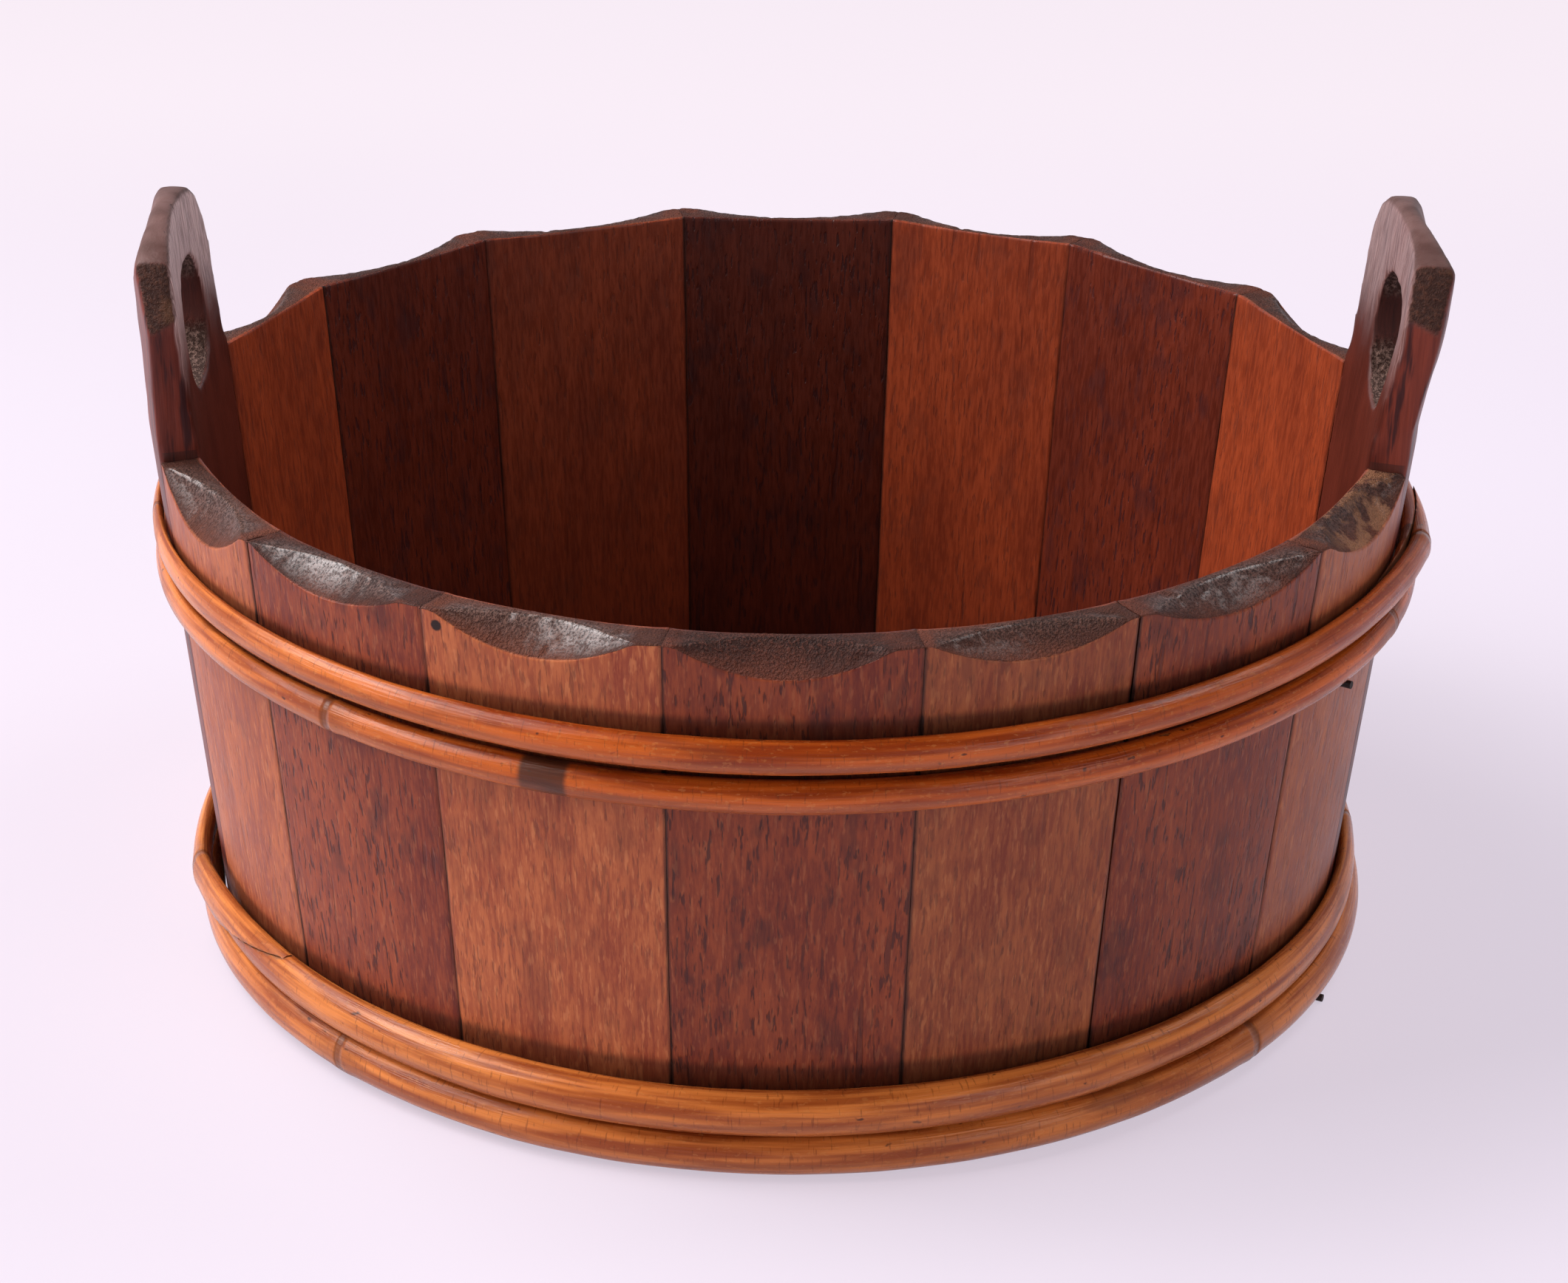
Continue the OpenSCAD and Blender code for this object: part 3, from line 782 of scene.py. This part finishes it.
# %% Hand-worn wood
OUTER_DEEP, OUTER_PALE, STREAK = (0.070, 0.010, 0.006), (0.200, 0.036, 0.020), (0.018, 0.006, 0.008)
LOW_DEEP, LOW_PALE = (0.045, 0.007, 0.004), (0.105, 0.018, 0.010)
DRY_DEEP, DRY_PALE, CRACK = (0.20, 0.095, 0.085), (0.58, 0.39, 0.37), (0.020, 0.011, 0.014)
CUT_DEEP, CUT_PALE, CUT_GOLD = (0.030, 0.008, 0.004), (0.072, 0.023, 0.012), (0.16, 0.062, 0.022)
HOLE_DEEP, HOLE_PALE = (0.045, 0.020, 0.014), (0.180, 0.105, 0.083)
SIDE_DEEP, SIDE_PALE = (0.030, 0.007, 0.005), (0.085, 0.018, 0.012)
CREST_DEEP, CREST_PALE = (0.078, 0.032, 0.026), (0.140, 0.070, 0.062)
EAR_DIRT = (0.035, 0.014, 0.011)


def ear_wood():
    material, tree, shader = new_material("ear wood")
    grain = grain_of(tree)
    inside, facet, crest, in_hole = attributes(tree, "inside", "facet", "crest", "in_hole")
    held, end_grain, joint = attributes(tree, "held", "end_grain", "joint")
    blotch = fibres(grain, 0.35, 48.0, 3.0, 0.6)
    fibre = fibres(grain, 0.04, 950.0, 3.0, 0.65)
    streak = fibres(grain, 0.12, 240.0, 3.0, 0.6)
    crack = fibres(grain, 0.05, 190.0, 2.0, 0.5).ease(0.66, 0.70)
    speckle = noise(grain, 700.0, 3.0, 0.7)
    golden = noise(grain, 75.0, 1.0, 0.5).ease(0.58, 0.72)
    tone = blotch.ease(0.36, 0.64) * 0.55 + fibre.ease(0.3, 0.7) * 0.45

    # the outer face, and the inner one, which is dry where it was held
    colour = mix(tone, OUTER_DEEP, OUTER_PALE)
    colour = mix(streak.ease(0.50, 0.62) * 0.8, colour, STREAK)
    dry = mix(fibre.ease(0.35, 0.65), DRY_DEEP, DRY_PALE)
    colour = mix(inside, colour, mix(held, mix(tone, LOW_DEEP, LOW_PALE), dry))
    colour = mix(crack * inside * held, colour, CRACK)

    # the facet, the hand hole and the crest
    cut = mix(speckle.ease(0.40, 0.72), CUT_DEEP, CUT_PALE)
    colour = mix(facet, colour, mix(golden * 0.3, cut, CUT_GOLD))
    hole_end = mix(speckle.ease(0.42, 0.62), HOLE_DEEP, HOLE_PALE)
    colour = mix(in_hole, colour, mix(end_grain, mix(tone, SIDE_DEEP, SIDE_PALE), hole_end))
    colour = mix(crest, colour, mix(blotch.ease(0.35, 0.65), CREST_DEEP, CREST_PALE))
    colour = mix(joint.ease(0.0007, 0.0001) * 0.6, colour, EAR_DIRT)
    lines = bump(fibre * (0.35 + held * inside * 0.65) - crack * inside * held * 1.5, 0.0004)
    pits = speckle.ease(0.3, 0.7) * (facet * 0.5 + in_hole * end_grain)
    finish(shader, Base_Color=colour, Specular_IOR_Level=0.22, Normal=bump(pits, 0.0007, lines),
           Roughness=(0.34 + fibre * 0.12 + facet * 0.3 + in_hole * 0.35 + crest * 0.12
                      + held * inside * 0.04))
    return material


EAR_WOOD = ear_wood()
print("finish:", EAR_WOOD.name)

# %% Wear both ears
EARS = {
    "ear_stave_right": {"place": RIGHT_EAR, "Crest": 0.237, "Front": -1, "Hole Shift": 0.007,
                        "Lean": 0.0030, "Thinned": 0.0, "Rise": 0.0007, "Dry": 0.4},
    "ear_stave_left": {"place": LEFT_EAR, "Crest": 0.2335, "Front": 1, "Hole Shift": -0.007,
                       "Lean": 0.0, "Thinned": 0.0022, "Rise": 0.0018, "Dry": 1.0},
}
EAR_SEED = 3
for name, values in EARS.items():
    start, end = EDGES[values["place"]], EDGES[values["place"] + 1]
    ear = grow(name + "_worn", EAR, values | {
        "Middle": (start + end) / 2, "Half Turn": (end - start) / 2,
        "Seed": values["place"] + EAR_SEED},
        EAR_WOOD, to_mesh(merged_copy(name), name + "_blank"), EAR_SKIN)
    smooth(ear, 1.2)
    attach(ear, "root")
    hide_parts(name)
    print(name, "faces", len(ear.data.polygons))

# %% [markdown]
# ## The cane hoops
# Each hoop is one length of cane: its thin under end lies on the staves, it runs once round,
# swings a little off the staves, and tapers out over its own start. The rule is the same for all
# four, so a tree bends a grid round that path. The cane was pressed flat as it was bent, so its
# section is deeper up and down than outwards, least so in front, where it also hangs lower.

# %% The path of a hoop
HOOP_COLUMNS, HOOP_ROWS = 720, 32
FULL_TURN = 2 * math.pi
BULGE_TURN, LAP_BULGE, LAP_GAP = math.radians(23), 0.0045, 0.0004


def hoop_path(given, column):
    """Where the middle of the cane runs: its turn from the start of the lap and its angle round
    the tub, the radius of the ring, the swing off it, the depth of the pressed section and the
    sag in front."""
    start = given["Lead"] - given["Lap Turn"] / 2
    turn = start + (given["Lap Turn"] + FULL_TURN) * (column / (HOOP_COLUMNS - 1))
    past = turn - FULL_TURN
    angle = turn + given["Lap Angle"]
    to_front = (angle.sin() * -1).most(0.0)
    depth = (given["Depth"] + given["Depth Right"] * angle.cos()
             + given["Depth Front"] * to_front * to_front)
    sag = given["Sag"] * to_front ** 4
    ring = given["Wall Radius"] + given["Cane Radius"] * depth - sag * TAPER

    # the over end swings out on two arcs that touch the ring at the bulge turn
    shift = LAP_BULGE / (1 - math.cos(BULGE_TURN))
    inward = (BULGE_TURN - abs(past)).most(0.0)
    sine = inward.sin() * shift
    arc = ((ring + shift) * (ring + shift) - sine * sine).root() - inward.cos() * shift
    swing = (arc - ring) * (abs(past) < BULGE_TURN)
    return SimpleNamespace(start=start, turn=turn, past=past, angle=angle, ring=ring,
                           swing=swing, depth=depth, sag=sag)


print("points in a hoop:", HOOP_COLUMNS * (HOOP_ROWS + 1))

# %% The thickness of the cane
KNOT_REACH, KNOT_RISE = 0.007, 0.00035
SCAR_REACH, SCAR_DEPTH = 0.0012, 0.0003
SWELL, LUMP, SLIM = 0.0007, 0.0003, 0.0002


def cane_thickness(given, at, around):
    """Knots are a little thicker, with a scar in their middle, and cane is never quite even."""
    cane_r = given["Cane Radius"]

    def knot(place):
        gap = abs(at.turn - place) * at.ring
        return gap.ease(KNOT_REACH, 0.0) * KNOT_RISE - gap.ease(SCAR_REACH, 0.0) * SCAR_DEPTH

    spin = combine(at.turn * 1.7 + given["Seed"] * 5.1, given["Seed"], 0.0)
    uneven = (noise(spin, 2.2, 2.0) - 0.5) * SWELL
    lumps = combine(at.turn * at.ring, around.cos() * cane_r, around.sin() * cane_r)
    lumpy = (noise(stretch(lumps, 0.25, 1.0, 1.0), 260.0, 2.0) - 0.5) * LUMP
    thick = cane_r + knot(given["Knot A"]) + knot(given["Knot B"]) + knot(FULL_TURN)
    return thick + uneven - SLIM + lumpy


print("a knot stands", KNOT_RISE, "m proud")

# %% [markdown]
# In the lap, each half of the cane is cut by a slanting face that runs from one side of the cane
# to the other: across the tub in a side lap, and upwards in a top lap. A cut with a boolean would
# leave ragged faces, so the points beyond the face are held back at it and laid out along its
# chord, and the mesh stays one tube.

# %% The slanting lap
TIP_BITE = 0.45
CHORD_END = 0.9


def hold(high_up, wide, thick, level, beyond, side_of_cut):
    """Lays the points beyond a level out along the chord where it cuts the round section."""
    level = level.least(thick * CHORD_END).most(thick * -CHORD_END)
    chord = (thick * thick - level * level).root()
    ahead = wide.math("ARCTAN2", high_up * side_of_cut)
    last = (level / thick * side_of_cut).math("ARCCOSINE")
    held = chord * (ahead / last)
    return high_up + (level - high_up) * beyond, wide + (held - wide) * beyond


def cut_lap(given, at, out, rise, thick):
    """The section after both cuts, as its way out and its rise, and where it was cut."""
    side, lap = given["Outside"], given["Lap Turn"]
    high_up = out * side + rise * (1 - side)
    wide = rise * side + out * (1 - side)

    def face(turn):
        return ((turn - at.start) / lap * 2 - 1) * given["Cane Radius"] * (2 * TIP_BITE)

    low = face(at.past) + LAP_GAP / 2 - at.swing / at.depth * side
    high = face(at.turn) - LAP_GAP / 2
    cut_over = (at.past > at.start) * (high_up < low)
    cut_under = (at.turn < at.start + lap) * (high_up > high)
    high_up, wide = hold(high_up, wide, thick, low, cut_over, -1.0)
    high_up, wide = hold(high_up, wide, thick, high, cut_under, 1.0)
    out = high_up * side + wide * (1 - side)
    rise = wide * side + high_up * (1 - side)
    return out, rise, (cut_over + cut_under).clip()


print("the two halves of a lap lie", LAP_GAP, "m apart")


# %% The whole hoop tree
def note_hoop(shape, given, at, around, cut):
    """Keeps what the material asks for. At the left all four canes are painted paler and more
    golden, as painted light of the lamp on that side.
    """
    cane_r = given["Cane Radius"]
    grain = combine(at.turn * at.ring + given["Seed"] * 3.3, around.cos() * cane_r,
                    around.sin() * cane_r)
    from_knot = abs(at.turn - given["Knot A"]).least(abs(at.turn - given["Knot B"]))
    # the canes at the left are painted paler and more golden: painted light of the lamp on that
    # side
    painted_left_light = (at.angle.cos() * -1).ease(0.2, 0.9) * 0.7
    shape = keep(shape, "FLOAT_VECTOR", grain=grain)
    return keep(shape, knot=from_knot.least(abs(at.past)) * at.ring, cut=cut,
                golden=(given["Golden"] * 0.75 + painted_left_light).clip(),
                burnt=abs(at.turn - given["Burn At"]) * at.ring)


def hoop_tree():
    tree, given = geometry_tree("cane hoop", [
        ("Height", 0.1), ("Cane Radius", 0.005), ("Wall Radius", 0.2), ("Depth", 0.6),
        ("Depth Right", 0.0), ("Depth Front", 0.0), ("Sag", 0.0), ("Golden", 0.0),
        ("Burn At", 0.0), ("Lap Angle", 0.0), ("Lead", 0.0), ("Lap Turn", 0.4),
        ("Outside", 0.0), ("Knot A", 2.0), ("Knot B", 4.0), ("Seed", 0.0), ("Material", None)])
    grid, column, row = bend_grid(tree, HOOP_COLUMNS, HOOP_ROWS + 1)
    at = hoop_path(given, column)
    around = row * (FULL_TURN / HOOP_ROWS)
    thick = cane_thickness(given, at, around)
    out, rise, cut = cut_lap(given, at, around.cos() * thick, around.sin() * thick, thick)
    radius = at.ring + at.swing + out * at.depth
    height = rise + given["Height"] - at.sag
    shape = place_at(grid, combine(radius * at.angle.cos(), radius * at.angle.sin(), height))
    return finish_tree(tree, note_hoop(shape, given, at, around, cut), given["Material"])


HOOP = hoop_tree()

# %% [markdown]
# The skin of the cane is hard, golden and glossy, with fine brown fibres along it, hair-thin cross
# marks, and brown stains. At the knots it is scarred. The upper half of each cane is dark and
# glossy, and the lower half is paler.

# %% Golden cane
RED_DEEP, RED_PALE = (0.240, 0.031, 0.003), (0.53, 0.102, 0.011)
GOLD_DEEP, GOLD_PALE = (0.31, 0.066, 0.012), (0.69, 0.220, 0.047)
FIBRE_BROWN, MARK_BROWN = (0.15, 0.028, 0.006), (0.12, 0.024, 0.006)
STAIN_BROWN, SPECK = (0.17, 0.034, 0.009), (0.035, 0.010, 0.006)
UNDER_PALE, FLECK_GOLD = (0.36, 0.125, 0.050), (0.62, 0.25, 0.07)
BURNT, SCAR = (0.050, 0.017, 0.009), (0.07, 0.022, 0.010)
KNOT_BROWN, CUT_BROWN = (0.22, 0.060, 0.018), (0.15, 0.060, 0.030)


def cane_finish():
    material, tree, shader = new_material("golden cane")
    grain = grain_of(tree)
    knot, cut, golden, burnt = attributes(tree, "knot", "cut", "golden", "burnt")
    fibre = noise(stretch(grain, 0.03, 1.0, 1.0), 1500.0, 3.0, 0.6)
    streak = noise(stretch(grain, 0.06, 1.0, 1.0), 330.0, 2.0, 0.5)
    marks = noise(stretch(grain, 1.0, 0.16, 0.16), 1400.0, 1.0, 0.5)
    stain = noise(stretch(grain, 0.35, 1.0, 1.0), 70.0, 3.0, 0.6)
    specks = noise(stretch(grain, 0.6, 1.0, 1.0), 330.0, 2.0, 0.5)
    flecks = noise(stretch(grain, 0.5, 1.0, 1.0), 900.0, 2.0, 0.6).ease(0.58, 0.68)
    deep, pale = mix(golden, RED_DEEP, GOLD_DEEP), mix(golden, RED_PALE, GOLD_PALE)
    colour = mix(streak.ease(0.33, 0.67), deep, pale)
    colour = mix(fibre.ease(0.55, 0.8) * 0.5, colour, FIBRE_BROWN)
    colour = mix(marks.ease(0.62, 0.72) * 0.45, colour, MARK_BROWN)
    colour = mix(stain.ease(0.58, 0.72) * 0.5, colour, STAIN_BROWN)
    colour = mix(specks.ease(0.70, 0.76) * 0.8, colour, SPECK)
    under = part_of(grain, Z).ease(0.0002, -0.0012)
    colour = mix(under * 0.35, colour, UNDER_PALE)
    colour = mix(flecks * 0.22, colour, FLECK_GOLD)
    in_burn = burnt.ease(0.0078, 0.0058)
    colour = mix(in_burn * (0.45 + stain.ease(0.3, 0.6) * 0.45), colour, BURNT)
    scar = knot.ease(0.0022, 0.0006)
    colour = mix(scar * 0.7, colour, SCAR)
    colour = mix(knot.ease(0.016, 0.003) * 0.35, colour, KNOT_BROWN)
    finish(shader, Base_Color=mix(cut * 0.8, colour, CUT_BROWN), Specular_IOR_Level=0.30,
           Roughness=0.20 + stain.ease(0.4, 0.7) * 0.15 + cut * 0.2,
           Normal=bump(fibre * 0.5 + streak * 0.6 - scar, 0.0004))
    return material


CANE = cane_finish()
print("finish:", CANE.name)

# %% [markdown]
# The two lower canes are thicker and are lapped on top. The two upper ones are lapped at the
# side, and one of them is burnt in a narrow band. Each cane is pressed differently, as measured.

# %% Bend the four hoops
LOWER_R, UPPER_R = 0.00675, 0.005
LOWER_Z, LOWER_STEP = 0.0094, 0.0141
UPPER_Z, UPPER_STEP = 0.1278, 0.0123
SEAT_GAP = 0.00025
TOP_LAP, SIDE_LAP = math.radians(18), math.radians(26)
LOWER = {"Cane Radius": LOWER_R, "Lead": BULGE_TURN - TOP_LAP / 2, "Lap Turn": TOP_LAP,
         "Outside": 0, "Golden": 1}
UPPER = {"Cane Radius": UPPER_R, "Lead": 0.0, "Lap Turn": SIDE_LAP, "Outside": 1, "Golden": 0}
IN_DEGREES = ("Lap Angle", "Knot A", "Knot B", "Burn At")
HOOPS = {
    "hoop_lower_bottom": LOWER | {
        "Height": LOWER_Z, "Lap Angle": 75, "Knot A": 153, "Knot B": 243,
        "Depth": 0.64, "Depth Right": 0.09, "Depth Front": 0.36, "Sag": 0.0018},
    "hoop_lower_top": LOWER | {
        "Height": LOWER_Z + LOWER_STEP, "Lap Angle": 196, "Knot A": 160, "Knot B": 290,
        "Depth": 0.44, "Depth Right": 0.0, "Depth Front": 0.56, "Sag": 0.0024},
    "hoop_upper_bottom": UPPER | {
        "Height": UPPER_Z, "Lap Angle": 105, "Knot A": 126, "Knot B": 231, "Burn At": 146.7,
        "Depth": 0.60, "Depth Right": 0.16, "Depth Front": 0.40, "Sag": 0.0026},
    "hoop_upper_top": UPPER | {
        "Height": UPPER_Z + UPPER_STEP, "Lap Angle": -14, "Knot A": 100, "Knot B": 205,
        "Depth": 0.50, "Depth Right": 0.16, "Depth Front": 0.50, "Sag": 0.0026},
}


def wall_radius(z):
    """The radius of the wall at height z, with the clearance that a hoop keeps from it."""
    return FOOT_R + TAPER * z + SEAT_GAP / math.cos(math.atan(TAPER))


for seed, (name, sizes) in enumerate(HOOPS.items()):
    values = {key: math.radians(size) if key in IN_DEGREES else size
              for key, size in sizes.items()}
    hoop = grow(name + "_cane", HOOP,
                values | {"Wall Radius": wall_radius(values["Height"]), "Seed": seed}, CANE)
    left_open = close_ends(hoop)
    smooth(hoop, 0.9)
    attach(hoop, "root")
    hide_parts(name)
    print(name, "faces", len(hoop.data.polygons), "open edges", left_open)

# %% [markdown]
# ## Parts that keep their packed shape
# The floor and the hidden pins are right as they are, so they only get a finish. Its pattern
# reads object coordinates, which lie in the frame of the tub. The pegs are small and dark, and
# one of them sticks out further than its solid, so they are a copy with that one drawn out.


# %% Plain woods
def plain_wood(name, pale, deep, along, roughness):
    """A simple wood whose fibres run along one axis, given as a stretch of the coordinates."""
    material, tree, shader = new_material(name)
    place = make(tree, "ShaderNodeTexCoord", (), "Object")
    fibre = noise(stretch(place, *along), 700.0, 3.0, 0.6)
    rings = noise(stretch(place, *along), 120.0, 2.0, 0.5)
    tone = fibre.ease(0.3, 0.7) * 0.6 + rings.ease(0.3, 0.7) * 0.4
    finish(shader, Base_Color=mix(tone, deep, pale), Specular_IOR_Level=0.24,
           Roughness=roughness + fibre * 0.1, Normal=bump(fibre, 0.0002))
    return material


ALONG_Y, ALONG_RADIUS = (1.0, 0.05, 1.0), (0.3, 0.3, 1.0)
FLOOR_WOOD = plain_wood("floor boards", (0.20, 0.055, 0.024), (0.09, 0.022, 0.011), ALONG_Y, 0.42)
BAMBOO = plain_wood("bamboo pins", (0.52, 0.36, 0.17), (0.38, 0.24, 0.10), ALONG_RADIUS, 0.5)
PEG_WOOD = plain_wood("dark pegs", (0.030, 0.014, 0.012), (0.012, 0.007, 0.006),
                      ALONG_RADIUS, 0.55)
FINISHES = {"floor_board": FLOOR_WOOD, "stave_pins": BAMBOO, "floor_pins": BAMBOO,
            "hoop_pegs": PEG_WOOD}
for name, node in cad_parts.items():
    for start_of_name, wood in FINISHES.items():
        if name.startswith(start_of_name):
            node.data.materials.clear()
            node.data.materials.append(wood)
            for face in node.data.polygons:
                face.material_index = 0
            print(name, "gets", wood.name)

# %% Draw out one peg
LONG_PEG_TURN, LONG_PEG_BY = math.radians(-27), 0.002
PEG_HALF_TURN, PEG_TOP = 0.1, 0.02
OUTSIDE_WALL = FOOT_R + 0.004
form = merged_copy("hoop_pegs")
for point in form.verts:
    x, y, z = point.co
    reach = math.hypot(x, y)
    near = abs(math.atan2(y, x) - LONG_PEG_TURN) < PEG_HALF_TURN
    if z < PEG_TOP and near and reach > OUTSIDE_WALL:
        point.co = (x * (1 + LONG_PEG_BY / reach), y * (1 + LONG_PEG_BY / reach), z)
peg_mesh = to_mesh(form, "hoop_pegs_set")
peg_mesh.materials.append(PEG_WOOD)
pegs = bpy.data.objects.new("hoop_pegs_set", peg_mesh)
bpy.context.scene.collection.objects.link(pegs)
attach(pegs, "root")
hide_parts("hoop_pegs")
print("hoop_pegs_set faces", len(peg_mesh.polygons))

# %% [markdown]
# ## Floor, light and camera
# A pale floor runs far behind the tub. What the camera and the reflections see of it is mostly a
# painted glow: painted shade at the left, next to the tub, and painted light in the middle, at the
# right and far behind, so it stays pale without more light on the tub. The rest of it takes the
# light and keeps a soft shadow, and there its colour is darker at the left, as painted shade
# against the stronger lamps on that side.

# %% Pale floor
NEAR_SHARE, FAR_SHARE = 0.58, 0.90
# the lit colour is darker at the left as painted shade against the stronger lamps there; the seen
# colours are painted light and shade, darker at the left and paler in the middle, at the right and
# far away
LIT_LEFT, LIT_RIGHT = (0.74, 0.68, 0.755), (0.80, 0.735, 0.815)
PAINTED_SHADE_LEFT, PAINTED_LIGHT_MIDDLE = (0.80, 0.72, 0.835), (0.94, 0.845, 0.97)
PAINTED_LIGHT_RIGHT, PAINTED_LIGHT_FAR = (0.90, 0.81, 0.945), (0.97, 0.87, 0.95)
GROUND_CORNERS = [(-6, -4, 0), (6, -4, 0), (6, 8, 0), (-6, 8, 0)]


def pale_floor():
    material, tree, shader = new_material("pale floor")
    tree.nodes.remove(shader)
    place = make(tree, "ShaderNodeTexCoord", (), "Object")
    side = part_of(place, X).ease(-0.1, 0.6)
    far = part_of(place, Y).ease(0.3, 1.1)
    # its lit colour is darker at the left: painted shade against the stronger lamps there
    diffuse = make(tree, "ShaderNodeBsdfDiffuse", {"Color": mix(side, LIT_LEFT, LIT_RIGHT)})
    # what the camera and the reflections see: painted shade at the left, painted light in the
    # middle, at the right and far away
    painted_floor_light = mix(part_of(place, X).ease(-0.30, -0.02), PAINTED_SHADE_LEFT, PAINTED_LIGHT_MIDDLE)
    painted_floor_light = mix(far, mix(side, painted_floor_light, PAINTED_LIGHT_RIGHT), PAINTED_LIGHT_FAR)
    plain = make(tree, "ShaderNodeEmission", {"Color": painted_floor_light, "Strength": 1.0})
    rays = (make(tree, "ShaderNodeLightPath", (), "Is Camera Ray")
            + make(tree, "ShaderNodeLightPath", (), "Is Glossy Ray"))
    share = rays * (far * (FAR_SHARE - NEAR_SHARE) + NEAR_SHARE)
    both = make(tree, "ShaderNodeMixShader", {0: share, 1: diffuse, 2: plain})
    tree.links.new(both.socket, tree.nodes["Material Output"].inputs["Surface"])
    return material


mesh = bpy.data.meshes.new("ground")
mesh.from_pydata(GROUND_CORNERS, [], [(0, 1, 2, 3)])
ground = bpy.data.objects.new("ground", mesh)
bpy.context.scene.collection.objects.link(ground)
mesh.materials.append(pale_floor())
print("ground:", mesh.materials[0].name)

# %% [markdown]
# The lamps stand where the reflections in the photograph put them. The main softbox is at the
# left, two smaller ones hang high behind the tub at the left and the right, where they catch the
# polished scoops, and a weak one stands in front at the right. The walls of the studio are pale
# and its ceiling is dark.

# %% Lamps and world
AIM = (0, 0, 0.1)
WALLS, CEILING = (0.62, 0.59, 0.64), (0.09, 0.085, 0.09)
# where each lamp stands, its width, its height, its power and its colour
LAMPS = {
    "left softbox": ((-1.45, -0.18, 1.35), 1.4, 1.3, 38.0, (1.0, 0.97, 0.98)),
    "high left softbox": ((-0.88, 0.34, 1.50), 1.05, 0.85, 19.0, (1.0, 0.98, 0.98)),
    "high right softbox": ((0.90, 0.40, 1.48), 0.7, 0.6, 7.0, (0.98, 0.98, 1.0)),
    "right softbox": ((1.2, -1.3, 1.0), 0.9, 0.9, 6.0, (0.97, 0.98, 1.0)),
}
for name, (place, width, height, watts, colour) in LAMPS.items():
    data = bpy.data.lights.new(name, "AREA")
    data.shape, data.size, data.size_y = "RECTANGLE", width, height
    data.energy, data.color = watts, colour
    light = bpy.data.objects.new(name, data)
    bpy.context.scene.collection.objects.link(light)
    light.location = place
    light.rotation_euler = (Vector(AIM) - Vector(place)).to_track_quat("-Z", "Y").to_euler()
    print(name, watts, "W")

world = bpy.data.worlds.new("pale studio")
bpy.context.scene.world = world
world.use_nodes = True
sight = make(world.node_tree, "ShaderNodeTexCoord", (), "Generated")
upwards = part_of(sight, Z).ease(0.15, 0.75)
put(world.node_tree, world.node_tree.nodes["Background"].inputs["Color"],
    mix(upwards, WALLS, CEILING))
bpy.context.scene.view_settings.view_transform = "Standard"

# %% [markdown]
# The camera stands where the photograph was taken. A pinhole camera was fitted to the joints, the
# rim and the hoops, and gave its place, how far it looks down, a slight roll, and its focal
# length in pixels of the photograph.

# %% Camera
CAMERA_PLACE = (0.0012, -0.9945, 0.5162)
PITCH, ROLL = math.radians(-23.508), math.radians(0.757)
FOCAL_PIXELS, PHOTO_WIDTH = 4428.8, 2121
SENSOR_WIDTH = 36.0
ahead = Vector((0.0, math.cos(PITCH), math.sin(PITCH)))
level = ahead.cross(Vector((0, 0, 1))).normalized()
above = level.cross(ahead)
right = level * math.cos(ROLL) + above * math.sin(ROLL)
over_head = above * math.cos(ROLL) - level * math.sin(ROLL)
camera_data = bpy.data.cameras.new("camera")
camera_data.sensor_fit, camera_data.sensor_width = "HORIZONTAL", SENSOR_WIDTH
camera_data.lens = SENSOR_WIDTH * FOCAL_PIXELS / PHOTO_WIDTH
camera = bpy.data.objects.new("camera", camera_data)
bpy.context.scene.collection.objects.link(camera)
turned = Matrix((right, over_head, -ahead)).transposed().to_4x4()
camera.matrix_world = Matrix.Translation(CAMERA_PLACE) @ turned
bpy.context.scene.camera = camera
print("lens:", round(camera_data.lens, 2), "mm")
